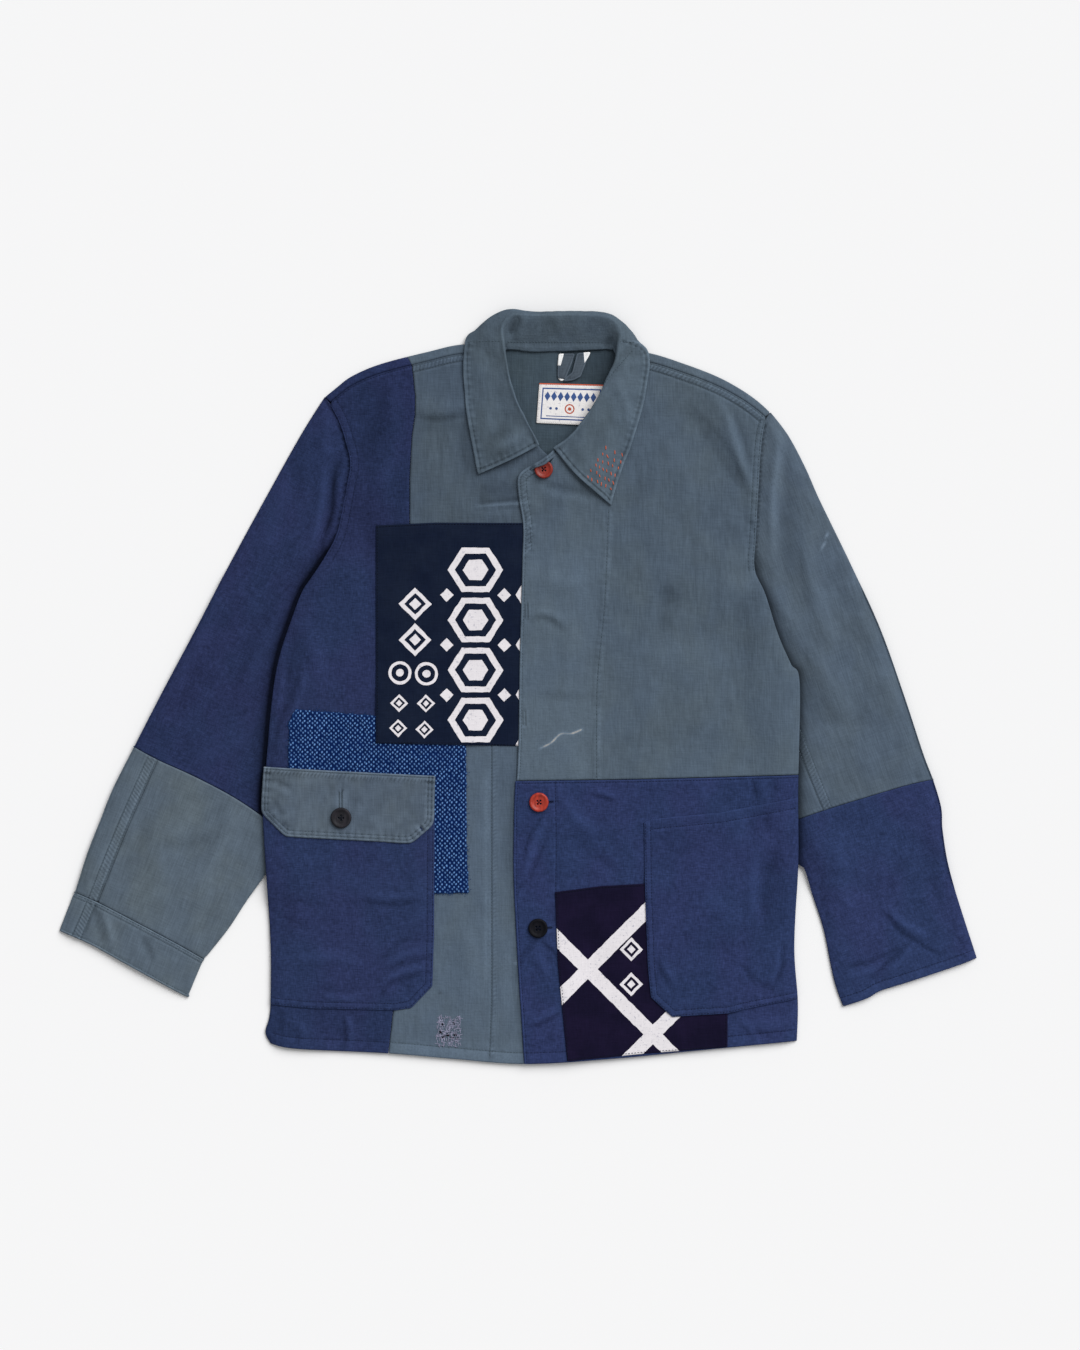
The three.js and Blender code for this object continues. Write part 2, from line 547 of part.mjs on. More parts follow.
function collar() {
  const base = collarStations.slice().reverse().map(([neck, roll, middle, edge]) => {
    const rest = (x, y, z, extra) => [x, y, z ?? frontTop(x, y) + COLLAR_CLEAR + extra];
    const low = rest(...neck, 0);
    const shoulder = rest(...middle, FALL_ARCH);
    const stand = low.map((value, k) => (value + roll[k]) / 2);
    const turn = roll.map((value, k) => (k === 2 ? value - 1.5 : value * 0.8 + shoulder[k] * 0.2));
    return [low, stand, roll, turn, shoulder, rest(...edge, 0)];
  });
  const vector = (p) => new THREE.Vector3(...p);
  const clampAt = (list, i) => list[Math.min(list.length - 1, Math.max(0, i))];
  const outer = base.map((row, i) =>
    row.map((p, j) => {
      const along = vector(clampAt(base, i + 1)[j]).sub(vector(clampAt(base, i - 1)[j]));
      const down = vector(clampAt(row, j + 1)).sub(vector(clampAt(row, j - 1)));
      const out = down.cross(along).normalize();
      return vector(p).addScaledVector(out, COLLAR_CLOTH).toArray();
    }),
  );
  return wall(base, outer);
}

// Small pieces at the neck: they lie on the inside of the back
function flatPiece(outline, low) {
  const shape = new THREE.Shape(outline.map(([x, y]) => new THREE.Vector2(x, y)));
  const piece = new THREE.ExtrudeGeometry(shape, { depth: CLOTH, bevelEnabled: false });
  piece.translate(0, 0, low);
  return solid(piece);
}
const labelOutline = [[22.5, 322.3], [92, 320.5], [89, 276.7], [19.4, 280]];
const loopOutline = [
  [43, 353.5], [60.5, 353.8], [54, 336], [50.8, 330.5], [58, 331.5], [64.5, 354.2],
  [77.4, 355.3], [72, 345], [66.5, 329], [58, 325.6], [47, 323], [41.6, 328],
];

// A four-hole button with a raised rim
const HOLE_TURNS = [0.25, 0.75, 1.25, 1.75].map((share) => share * Math.PI);
function button({ radius, thickness, hole, pitch }) {
  const profile = [
    [0, 0], [radius * 0.82, 0], [radius, thickness * 0.4], [radius * 0.93, thickness],
    [radius * 0.72, thickness * 0.9], [radius * 0.6, thickness * 0.62], [0, thickness * 0.58],
  ];
  const disc = new THREE.LatheGeometry(profile.map(([r, z]) => new THREE.Vector2(r, z)), 18);
  disc.rotateX(Math.PI / 2);
  let body = solid(disc);
  for (const turn of HOLE_TURNS) {
    const drill = new THREE.CylinderGeometry(hole, hole, 4 * thickness, 6);
    drill.rotateX(Math.PI / 2);
    drill.translate(pitch * Math.cos(turn), pitch * Math.sin(turn), 0);
    body = body.subtract(solid(drill));
  }
  return body;
}
const BUTTON_CLEAR = 0.6; // from the cloth up to a button
const BUTTON_GLOSS = 0.35; // roughness of the buttons
const frontPlies = (x, y) => frontHeight(x, y) + CLOTH + leftFrontPly(x, y);
const flapPlies = (x, y) => frontHeight(x, y) + CLOTH + 3 * PLY;
const buttons = [
  { name: "button_collar", kind: COLLAR_BUTTON, colour: RED, at: [27.2, 229.5], on: frontPlies },
  { name: "button_front_2", kind: BUTTON, colour: RED, at: [22.2, -122.1], on: frontPlies },
  { name: "button_front_3", kind: BUTTON, colour: BLACK, at: [21.2, -255.5], on: frontPlies },
  { name: "button_flap", kind: FLAP_BUTTON, colour: BLACK, at: [-187.2, -138.5], on: flapPlies },
];

// The whole jacket
const jacket = new THREE.Group();
const CLOTH_ROUGHNESS = 0.9;
function addPiece(name, body, colour, roughness = CLOTH_ROUGHNESS) {
  const { vertProperties, triVerts } = body.getMesh();
  const geometry = new THREE.BufferGeometry();
  geometry.setAttribute("position", new THREE.BufferAttribute(new Float32Array(vertProperties), 3));
  geometry.setIndex(new THREE.BufferAttribute(new Uint32Array(triVerts), 1));
  const material = new THREE.MeshStandardMaterial({ color: colour, roughness, metalness: 0 });
  const mesh = new THREE.Mesh(geometry, material);
  mesh.name = name;
  jacket.add(mesh);
  return mesh;
}

const COLOURS = {
  back_panel: GREEN_INSIDE,
  back_side_panel: BLUE,
  right_sleeve_top: BLUE,
  right_sleeve_under: BLUE,
  right_sleeve_end_top: GREEN,
  right_sleeve_end_under: GREEN,
  right_cuff: GREEN,
  left_sleeve_top: GREEN,
  left_sleeve_under: GREEN,
  left_sleeve_end_top: BLUE,
  left_sleeve_end_under: BLUE,
  patch_speckled: KASURI,
  patch_dark: DARK,
  right_pocket: BLUE,
  right_pocket_flap: GREEN,
  patch_lattice: PURPLE,
  left_pocket: BLUE,
};

for (const [name, body] of Object.entries({ ...backPanels(), ...rightSleeve(), ...leftSleeve() })) {
  addPiece(name, body, COLOURS[name]);
}
addPiece("right_side_front", rightSideFront(), BLUE);
addPiece("right_front", rightFront(), GREEN);
addPiece("left_front_upper", leftFrontUpper(), GREEN);
addPiece("left_front_lower", leftFrontLower(), BLUE);
for (const [name, make] of Object.entries({ ...rightPieces, ...leftPieces })) {
  addPiece(name, make(), COLOURS[name]);
}
addPiece("collar", collar(), GREEN);
addPiece("neck_label", flatPiece(labelOutline, PLY), WHITE);
addPiece("hanger_loop", flatPiece(loopOutline, PLY), GREEN_INSIDE);
for (const { name, kind, colour, at, on } of buttons) {
  const [x, y] = at;
  addPiece(name, button(kind), colour, BUTTON_GLOSS).position.set(x, y, on(x, y) + BUTTON_CLEAR);
}

export default jacket;
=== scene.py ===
"""A patched work jacket laid flat on a pale floor, seen from straight above.

Right and left are the wearer's: the right sleeve points to -X, the collar to +Y. Shapes are worked
out in millimetres and turned into metres where a mesh is made. Every piece of cloth is filled with
points in plan, raised to its ply's height, and given a thickness."""
import math
import random

import bpy
import numpy as np
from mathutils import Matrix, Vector
from mathutils.bvhtree import BVHTree
from mathutils.geometry import delaunay_2d_cdt


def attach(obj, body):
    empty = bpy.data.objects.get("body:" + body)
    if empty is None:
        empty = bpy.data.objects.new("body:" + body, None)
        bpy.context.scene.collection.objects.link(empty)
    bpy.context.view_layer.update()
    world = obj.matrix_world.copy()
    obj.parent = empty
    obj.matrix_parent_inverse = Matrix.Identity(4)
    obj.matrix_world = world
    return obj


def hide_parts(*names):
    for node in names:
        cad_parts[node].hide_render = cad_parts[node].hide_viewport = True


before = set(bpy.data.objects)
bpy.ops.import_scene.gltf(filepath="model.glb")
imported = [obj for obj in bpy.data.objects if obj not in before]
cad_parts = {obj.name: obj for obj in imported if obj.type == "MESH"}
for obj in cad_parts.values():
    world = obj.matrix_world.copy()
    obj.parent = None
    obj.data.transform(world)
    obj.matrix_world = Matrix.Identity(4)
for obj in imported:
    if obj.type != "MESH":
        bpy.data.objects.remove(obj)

for left_over in ("Cube", "Light", "Camera"):
    if left_over in bpy.data.objects:
        bpy.data.objects.remove(bpy.data.objects[left_over])
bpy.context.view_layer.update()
MM = 0.001
CLOTH = 1.0  # one ply of cloth
GAP = 0.3  # between plies
PLY = CLOTH + GAP
LOFT = 1.9  # air between back and front
SWELL = 0.8  # how much more air the waves let in, as a share of LOFT
CREASE = 2.0  # how strongly creases stand out
CREASE_SHADE = 0.12  # painted crease shading: how much paler a ridge, and darker a trough, is painted for its height
FOLD = 14.0  # width over which cloth turns down to a folded edge
TUCK_LIFT = 4.2  # how far the body rises over a tucked sleeve
TUCK_RAMP = 40.0  # width over which it rises
SHOULDER_TURN = 10.0  # how far the back comes forward over the shoulder
OVERLAP_END = 45.0  # x of the right front's hidden edge
RIGHT_ARMPIT = 140.0  # levels of y
LEFT_ARMPIT = 125.0
FLOOR_INSET = 1.3  # how far a hidden ply stays inside the ply above it
UNDER_FOLD = 0.25  # the most a crease lifts the cloth that lies on the floor
ALLOWANCE = 10.0  # turned in round each cut piece
THREAD = 0.36  # half the width of a stitch
ARCH = 0.18  # how far a stitch stands up
RAY_START = 60.0  # a level above everything, to look down from
FINE = 2.8  # net of the cloth that faces the camera
COARSE = 7.0  # net of the hidden plies


# ---------------------------------------------------------------- lines and noise
def smooth(points, step=2.5):
    """A round line through a few points, as evenly spaced points."""
    p = np.asarray(points, float)
    ends = np.vstack([p[:1], p, p[-1:]])
    t = np.linspace(0, 1, 24, endpoint=False)[:, None]
    bits = []
    for a, b, c, d in zip(ends, ends[1:], ends[2:], ends[3:]):
        bits.append(0.5 * (2 * b + (c - a) * t + (2 * a - 5 * b + 4 * c - d) * t**2
                           + (3 * b - a - 3 * c + d) * t**3))
    return even(np.vstack([*bits, p[-1:]]), step)


def even(points, step=2.5):
    """The same line with points about every step."""
    p = np.asarray(points, float)
    reach = np.hypot(*np.diff(p, axis=0).T)
    s = np.concatenate([[0], np.cumsum(reach)])
    at = np.linspace(0, s[-1], max(2, int(round(s[-1] / step)) + 1))
    return np.column_stack([np.interp(at, s, p[:, 0]), np.interp(at, s, p[:, 1])])


def corners(points, step=2.5):
    """Straight runs between corners, with points along each."""
    runs = [even([a, b], step)[:-1] for a, b in zip(points, points[1:])]
    return np.vstack([*runs, np.asarray(points[-1:], float)])


def x_at(path, y):
    """Where an upright line is at a level of y."""
    order = np.argsort(path[:, 1])
    return np.interp(y, path[order, 1], path[order, 0])


def y_at(path, x):
    """How high a level line is at a place of x."""
    order = np.argsort(path[:, 0])
    return np.interp(x, path[order, 0], path[order, 1])


def nearest(path, x, y, reach=40.0):
    """Distance to a line (large past reach), the way along it, and the side: + is its left."""
    path = np.asarray(path, float)
    best = np.full(x.shape, 1e6)
    along = np.zeros(x.shape)
    side = np.ones(x.shape)
    low, high = path.min(0) - reach, path.max(0) + reach
    near = np.nonzero((x > low[0]) & (x < high[0]) & (y > low[1]) & (y < high[1]))[0]
    if not len(near):
        return best, along, side
    px, py = x[near], y[near]
    b, a, s, run = best[near], along[near], side[near], 0.0
    for (ax, ay), (bx, by) in zip(path, path[1:]):
        dx, dy = bx - ax, by - ay
        length = math.hypot(dx, dy)
        if length < 1e-9:
            continue
        t = np.clip(((px - ax) * dx + (py - ay) * dy) / length**2, 0, 1)
        ex, ey = px - ax - t * dx, py - ay - t * dy
        d = np.hypot(ex, ey)
        closer = d < b
        b = np.where(closer, d, b)
        a = np.where(closer, run + t * length, a)
        s = np.where(closer, np.sign(dx * ey - dy * ex), s)
        run += length
    best[near], along[near], side[near] = b, a, s
    return best, along, side


def closed(outline):
    """The line all round an outline, back to its first point."""
    return np.vstack([outline, outline[:1]])


def shifted(path, away):
    """A line moved sideways: + is to its left."""
    p = np.asarray(path, float)
    tangent = np.gradient(p, axis=0)
    tangent /= np.maximum(np.hypot(*tangent.T), 1e-9)[:, None]
    return p + away * np.column_stack([-tangent[:, 1], tangent[:, 0]])


def inside(loop, x, y):
    loop = np.asarray(loop, float)
    odd = np.zeros(x.shape, bool)
    for (ax, ay), (bx, by) in zip(loop, np.roll(loop, -1, axis=0)):
        if ay == by:
            continue
        crosses = (ay > y) != (by > y)
        odd ^= crosses & (x < (bx - ax) * (y - ay) / (by - ay) + ax)
    return odd


def ramp(a, b, value):
    """0 at a and 1 at b, with soft ends."""
    t = np.clip((value - a) / (b - a), 0, 1)
    return t * t * (3 - 2 * t)


def bell(d, width):
    """1 at 0, falling off to each side."""
    return np.exp(-(d / width) ** 2)


def noise(x, y, size, seed=0.0):
    """Smooth noise from -1 to 1, with features of about this size."""
    def knot(i, j):
        h = np.sin(i * 127.1 + j * 311.7 + seed * 74.7) * 43758.5453
        return 2 * (h - np.floor(h)) - 1
    i, j = np.floor(x / size), np.floor(y / size)
    a, b = x / size - i, y / size - j
    a, b = a * a * (3 - 2 * a), b * b * (3 - 2 * b)
    return (knot(i, j) * (1 - a) * (1 - b) + knot(i + 1, j) * a * (1 - b)
            + knot(i, j + 1) * (1 - a) * b + knot(i + 1, j + 1) * a * b)


# ---------------------------------------------------------------- outlines of the jacket
BODY_RIGHT = smooth([
    (-262, -378.4), (-268, -366), (-263, -344.5), (-262, -294), (-263, -260), (-266, -209),
    (-270.5, -125), (-267, -82.7), (-260.8, -13.8), (-253.3, 30.7), (-239.6, 73), (-229, 100.7),
    (-219, 116), (-203.5, 140), (-191.5, 165), (-182.4, 209.7), (-178, 236), (-182.4, 258.3),
    (-190.5, 282.6), (-204.6, 307.4)])
BODY_LEFT = smooth([
    (295.7, -375.2), (296.8, -334), (293, -275), (296.8, -188.7), (296.8, -109), (298.5, 3.6),
    (288.9, 24.8), (275.5, 56), (262, 98.5), (250.9, 125.2), (252, 158.7), (254.3, 203),
    (257, 248), (261, 277), (267.7, 290.8)])
HEM = smooth([
    (-262, -378.4), (-233, -383.7), (-136.7, -388.5), (-67.8, -394.3), (6.4, -399.6),
    (97.5, -394.3), (186.6, -385.8), (295.7, -375.2)])
TOP = smooth([
    (-204.6, 307.4), (-193, 317), (-176, 329.7), (-146, 342.4), (-97.5, 355), (-56.7, 363.4),
    (-14, 359), (22, 354.5), (61, 357.4), (103, 358.3), (140, 354), (177, 342.4), (210, 329.7),
    (234, 317), (253, 304), (267.7, 290.8)])
SIDE_SEAM = corners([
    (-118, 351), (-112.4, 341), (-109.1, 308), (-109.3, 288), (-112.6, 265), (-115, 221),
    (-115, 173.5), (-131, -334), (-133.4, -352), (-137.5, -388.6)])
WAIST_SEAM = smooth([(-2.8, -99.6), (40, -99.1), (110, -98.3), (200, -96.2), (297, -93.3)])
LEFT_EDGE = smooth([
    (38, 252.5), (35.8, 249), (29, 243.5), (22.3, 239), (10.6, 233), (1.6, 225.8), (-0.6, 217),
    (1, 199), (5.3, 172), (4.8, 140), (3.5, 91.5), (1.6, 18.4), (0.6, -54.5), (-1.4, -99)])
LEFT_LOWER_EDGE = smooth([
    (-2.8, -99.5), (-4.2, -125), (-4.9, -194), (-2.8, -246), (1, -315), (3.1, -345), (6.5, -399.4)])
RIGHT_NECK = smooth([(-17, 351), (-16, 330), (-9, 306), (3, 283), (17, 262), (30, 247), (45, 240)])
LEFT_NECK = smooth([(104, 351), (102.5, 338), (96, 322), (86, 301), (73, 280), (58, 262), (40, 254)])

RIGHT_SLEEVE_INNER = smooth([
    (-198, 143), (-206, 127), (-214, 110), (-223, 70), (-231, 0), (-240, -80), (-247, -130),
    (-256, -172), (-267, -197), (-288, -227), (-306.8, -255.7), (-327.7, -282.2), (-334.5, -291),
    (-349.4, -326)])
RIGHT_SLEEVE_OUTER = smooth([
    (-205, 307.8), (-231, 266), (-269, 198), (-306, 130), (-341, 62.5), (-377, -5.3),
    (-407, -63.6), (-429, -107), (-443, -142), (-456, -175), (-468.8, -215), (-473, -224),
    (-486.5, -258.6)])
RIGHT_CUFF = smooth([(-486.5, -258.6), (-453.7, -272.8), (-420, -291.4), (-355, -326.8), (-349.4, -326)])
LEFT_SLEEVE_INNER = smooth([
    (246, 129), (251, 110), (256, 88), (262, 60), (270, 20), (277, -20), (282, -70),
    (286, -120), (291, -165), (297.2, -187.5), (303.7, -193), (312.4, -221), (324.3, -258),
    (335, -310), (344.8, -338.9)])
LEFT_SLEEVE_OUTER = smooth([
    (268.1, 291.2), (287, 266), (305, 232), (320, 198), (353, 130), (383.7, 62.5), (408, -5.3),
    (429.3, -70), (439.9, -98.2), (448.6, -128), (450.3, -153.7), (459, -200), (486.5, -287.3)])
LEFT_CUFF = smooth([
    (486.5, -287.3), (463.8, -296), (416, -312), (384, -322.2), (370.8, -329.7), (344.8, -338.9)])
RIGHT_SLEEVE_SEAM = smooth([(-408.5, -62.9), (-382.6, -77), (-341, -96), (-297.3, -119.5), (-250, -152)])
LEFT_SLEEVE_SEAM = smooth([
    (283, -145), (297.2, -140.3), (324.3, -131), (364, -118.7), (412, -104.5), (441, -98)])
RIGHT_CUFF_SEAM = smooth([
    (-471.5, -217.4), (-445.9, -228.2), (-405, -249.4), (-363.6, -271.4), (-332.5, -289.4)])
RIGHT_FELL = smooth([(-381.5, -76.5), (-414, -150), (-444.5, -226), (-463.5, -270)])
LEFT_FELL = smooth([(286, -40), (297.2, -65.7), (310, -98), (323.3, -130.4)])


# ---------------------------------------------------------------- heights of the plies
def over_sleeve(x, y, inner, armpit, foot, way):
    """1 where the body lies on a sleeve and 0 far from it. way is +1 or -1, the direction from the
    sleeve's inner edge to the middle of the body."""
    edge = x_at(inner, y)
    return (ramp(armpit, armpit - 30, y) * ramp(foot, foot + 46, y)
            * ramp(edge + way * (TUCK_RAMP + 6), edge + way * 4, x))


def tuck_lift(x, y):
    right = over_sleeve(x, y, RIGHT_SLEEVE_INNER, RIGHT_ARMPIT, -250, 1)
    left = over_sleeve(x, y, LEFT_SLEEVE_INNER, LEFT_ARMPIT, -240, -1)
    return TUCK_LIFT * np.maximum(right, left)


def loft(x, y, soft):
    """The air under a top ply: long waves and the soft ones given, never less than a quarter."""
    wave = 0.5 + 0.5 * np.sin(x / 61 + 0.8) * np.cos(y / 83 - 0.4)
    return LOFT * (1 + SWELL * wave) + np.maximum(soft, -0.75 * LOFT)


def rise(distance, width=FOLD):
    """0 at a folded edge and 1 from width inwards."""
    return np.sin(np.pi / 2 * np.clip(distance / width, 0, 1))


def folds(x, y, creases, gain=None):
    """Soft ridges (+) and troughs (-): each has a line, a half width and a height. With a gain they
    are painted shading, ridges paler and troughs darker, and narrow ones show more."""
    z = np.zeros(x.shape)
    for line, width, height in creases:
        path = smooth(line, 6)
        d, along, _ = nearest(path, x, y, 3 * width)
        length = np.hypot(*np.diff(path, axis=0).T).sum()
        fade = np.clip(np.minimum(along, length - along) / (0.3 * length), 0, 1)
        strength = height * gain * (6 / width) ** 0.7 if gain else height
        z += CREASE * strength * bell(d, width) * (0.1 + 0.9 * fade)
    return z


BODY_CREASES = [
    # right chest
    ([(-52, 187.5), (-45, 190.3), (-30, 192), (-6, 193.6), (12, 194)], 2.3, 1.1),
    ([(-44, 193.6), (-28, 196.2), (-4, 198.5), (12, 199)], 2.4, -0.75),
    ([(-50, 199), (-24, 205), (8, 212)], 9, -0.9),
    ([(-48, 183), (-24, 184), (6, 185)], 5, 0.5),
    ([(-109, 286.5), (-100, 284), (-85, 283), (-70, 285), (-54, 287)], 3.4, -0.9),
    ([(-110, 276), (-84, 274), (-60, 277)], 8, -0.6),
    ([(-110, 297), (-84, 296), (-56, 300)], 8, 0.8),
    ([(-55, 286), (-59, 262), (-55, 240), (-47, 218)], 6, -1.1),
    ([(-37.5, 216), (-38.5, 200), (-38, 186)], 2.6, -0.5),
    ([(-92, 262), (-80, 235), (-84, 205)], 14, 0.7),
    # right shoulder and side, blue
    ([(-141, 318), (-150, 280), (-170, 225)], 9, -0.9),
    ([(-122, 276), (-136, 240), (-148, 196)], 9, 0.9),
    ([(-128, 330), (-134, 300), (-128, 262)], 8, 0.6),
    ([(-176, 200), (-160, 170), (-157, 130)], 9, -0.8),
    ([(-190, 158), (-172, 110), (-168, 50)], 12, 1.0),
    ([(-232, 22), (-238, -4), (-248, -26), (-255, -44), (-259, -78)], 2.4, -0.8),
    ([(-241, 30), (-244, 6), (-252, -16)], 3.4, -0.7),
    ([(-224, 20), (-231, -10), (-246, -44)], 4, 0.9),
    ([(-247, 20), (-251, -10), (-258, -30)], 3.4, 0.7),
    ([(-228, 70), (-212, 30), (-214, -8)], 9, 0.8),
    ([(-240, 60), (-238, 30), (-242, 6)], 6, -0.8),
    # left chest
    ([(14, 220), (40, 210), (82, 204)], 5, -0.8),
    ([(18, 212), (44, 202), (84, 195)], 6, 0.6),
    ([(8, 69), (30, 71), (48, 58)], 4, -0.9),
    ([(10, 76), (32, 78), (52, 66)], 5, 0.6),
    ([(8, -10.6), (45, -13), (81, -13)], 6, -0.6),
    ([(12, 120), (50, 112), (84, 116)], 9, 0.6),
    ([(172, 289), (192, 281), (207, 261), (217, 244), (236, 215), (248, 190)], 8, -1.5),
    ([(205, 314), (221, 285), (232, 250), (243, 220), (251, 196)], 6, 1.5),
    ([(226, 300), (236, 270), (243, 240), (250, 214)], 3.4, -0.6),
    ([(240, 182), (248, 170), (252, 156)], 3, -0.6),
    ([(150, 262), (176, 230), (186, 180)], 14, 0.6),
    ([(246, 150), (226, 118), (214, 70)], 12, 0.8),
    ([(252, 112), (242, 66), (244, 10)], 10, -0.7),
    ([(110, 20), (170, 30), (230, 15)], 20, 0.7),
    ([(100, -60), (160, -50), (240, -70)], 16, -0.7),
    ([(120, 250), (128, 215), (112, 170)], 12, -0.6),
    # lower right front and hem
    ([(-62, -240), (-48, -290), (-57, -350)], 10, 0.8),
    ([(-20, -80), (-14, -150), (-18, -230)], 7, -0.7),
    ([(-12, -250), (-15, -310), (-10, -370)], 7, 0.6),
    ([(-187, -348), (-184.5, -362), (-185, -380)], 2.4, -0.6),
    ([(-181, -348), (-178, -366), (-177, -384)], 4, 0.8),
    ([(-248, -344), (-252, -356), (-250, -372)], 3, -0.6),
    ([(-242, -350), (-228, -366), (-224, -380)], 5, 0.7),
    # lower left front, blue
    ([(26, -134), (20, -144), (11, -160), (3, -190)], 2.2, -0.7),
    ([(31, -140), (24, -152), (14, -170), (7, -192)], 4, 0.8),
    ([(32, -156), (26, -170), (17.4, -189), (9, -212)], 2.2, -0.7),
    ([(22, -166), (12, -186), (6, -206)], 4, 0.6),
    ([(24, -262), (14, -274), (4, -286), (0, -300)], 2.4, -0.6),
    ([(22, -268), (30, -275), (37, -281), (42, -292)], 2.2, -0.7),
    ([(20, -272), (24, -292), (36, -312)], 5, 0.9),
    ([(44, -345), (34, -353), (24, -358), (8, -365)], 2.2, -0.7),
    ([(46, -338), (26, -350), (8, -357)], 4, 0.8),
    ([(44, -372), (30, -376), (12, -384)], 3.4, -0.6),
    ([(76, -113), (90, -119), (106, -122.5)], 2.2, -0.6),
    ([(78, -108), (92, -113), (108, -116)], 3.6, 0.6),
    ([(44, -112), (62, -140), (90, -160)], 7, 0.8),
    ([(52, -150), (78, -178), (112, -196)], 7, -0.7),
    ([(248, -98), (250, -108), (252, -120)], 2.2, -0.6),
    ([(257, -97), (259, -108), (262, -122)], 4, 0.6),
    ([(270, -98), (272, -108), (273, -116)], 2.4, -0.5),
    ([(200, -98), (196, -112), (198, -128)], 5, 0.7),
    ([(226, -100), (222, -112), (214, -126)], 3.4, -0.5),
    ([(240, -352), (262, -360), (290, -352)], 6, 0.8),
    ([(244, -364), (262, -370), (288, -366)], 3.4, -0.6),
    ([(232, -350), (246, -362), (258, -380)], 3.4, 0.6),
]


def body_waves(x, y):
    return (0.8 * noise(x, y, 62, 1) + 0.5 * noise(x, y, 27, 2) + 0.2 * noise(x, y, 12, 3)
            + folds(x, y, BODY_CREASES))


def front_height(x, y):
    """Underside of the front where it lies on the back."""
    right_side = ramp(RIGHT_ARMPIT, RIGHT_ARMPIT - 35, y)
    left_side = ramp(LEFT_ARMPIT, LEFT_ARMPIT - 35, y)
    right = 1 - right_side * (1 - rise(x - x_at(BODY_RIGHT, y)))
    left = 1 - left_side * (1 - rise(x_at(BODY_LEFT, y) - x))
    shoulder = rise(y_at(TOP, x) - y)
    return tuck_lift(x, y) + PLY + right * left * shoulder * loft(x, y, body_waves(x, y))


def on_speckled(x, y):
    """1 where the dark patch lies on the speckled one."""
    return ramp(12, -22, y) * ramp(-30, -50, x)


def left_front_ply(x, y):
    """How much higher the left front lies where it laps over the right."""
    below = 1 + ramp(-110, -66, y)
    return PLY * below * ramp(OVERLAP_END + 34, OVERLAP_END + 2, x)


def sleeve_lid(outer, inner, creases, seed):
    """The height of a sleeve's upper ply, between its two folded edges."""
    def height(x, y):
        d_out, _, _ = nearest(outer, x, y, 60)
        d_in, _, _ = nearest(inner, x, y, 60)
        soft = (0.7 * noise(x, y, 50, seed) + 0.45 * noise(x, y, 22, seed + 1)
                + 0.16 * noise(x, y, 10, seed + 2) + folds(x, y, creases))
        return PLY + loft(x, y, soft) * rise(d_out) * rise(d_in, 24)
    return height


RIGHT_SLEEVE_CREASES = [
    ([(-186, 250), (-192, 232), (-195.3, 211), (-196.5, 186), (-204, 162), (-209, 138)], 2.6, -1.6),
    ([(-190, 244), (-196, 226), (-199, 200), (-201, 178), (-210, 150)], 5.5, -0.8),
    ([(-205, 240), (-207, 205), (-214, 165), (-226, 130)], 6, 1.5),
    ([(-199, 290), (-204, 262), (-201, 238)], 6, 0.8),
    ([(-234, 264), (-237, 226), (-232, 190)], 9, -0.9),
    ([(-248, 232), (-256, 186), (-276, 130)], 11, 0.9),
    ([(-231, 118), (-262, 60), (-290, -10)], 10, 1.0),
    ([(-250, 110), (-285, 40), (-318, -40)], 8, -0.9),
    ([(-262, -20), (-300, -60), (-350, -84)], 10, 0.8),
    ([(-300, 90), (-335, 20), (-372, -40)], 11, -0.7),
    ([(-310, 110), (-344, 44), (-378, -20)], 9, 0.7),
    ([(-290, -130), (-320, -180), (-340, -240)], 10, 0.9),
    ([(-385, -110), (-398, -160), (-425, -215)], 9, -0.7),
    ([(-340, -110), (-365, -170), (-395, -235)], 11, 0.7),
    ([(-300, -150), (-350, -170), (-400, -165)], 8, -0.6),
    ([(-452, -232), (-446, -246), (-440, -272)], 4, -0.9),
    ([(-440, -236), (-434, -252), (-428, -278)], 4, 0.8),
    ([(-400, -262), (-394, -276), (-384, -296)], 4, -0.7),
]
LEFT_SLEEVE_CREASES = [
    ([(267, 284), (276, 259), (272, 223), (269, 187), (270, 126)], 5.5, 1.7),
    ([(286, 236), (286, 187), (287, 150), (298, 102), (298, 70)], 9, -1.3),
    ([(308, 178), (308, 126), (322, 78), (338, 30)], 9, 1.1),
    ([(262, 116), (280, 84), (304, 56)], 8, 0.9),
    ([(283, 60), (305, 10), (330, -50)], 9, -0.9),
    ([(300, 60), (335, 0), (365, -70)], 11, 0.9),
    ([(334, 124), (356, 70), (384, 10)], 9, -0.7),
    ([(350, 96), (378, 36), (402, -40)], 9, 0.6),
    ([(305, -20), (340, -35), (390, -30)], 10, -0.6),
    ([(384, -236), (394, -246), (404, -258), (416, -267), (433, -277), (450, -286)], 2.2, -0.9),
    ([(390, -232), (402, -246), (416, -256), (438, -266)], 4, 0.9),
    ([(412, -270), (404, -282), (390, -294), (374, -310)], 2.3, -0.8),
    ([(420, -272), (404, -292), (386, -308)], 4, 0.8),
    ([(340, -300), (352, -297), (378, -290), (406, -276)], 2.4, -0.7),
    ([(342, -308), (372, -302), (392, -290)], 4, 0.7),
    ([(462, -262), (470, -272), (474, -284)], 2.6, -0.6),
    ([(316, -200), (322, -222), (330, -250)], 3, -0.5),
    ([(330, -160), (345, -200), (352, -250)], 10, 0.9),
    ([(430, -140), (436, -190), (455, -240)], 9, -0.8),
    ([(320, -190), (370, -215), (420, -205)], 10, -0.6),
    ([(300, -166), (318, -196), (330, -236)], 7, -0.7),
]


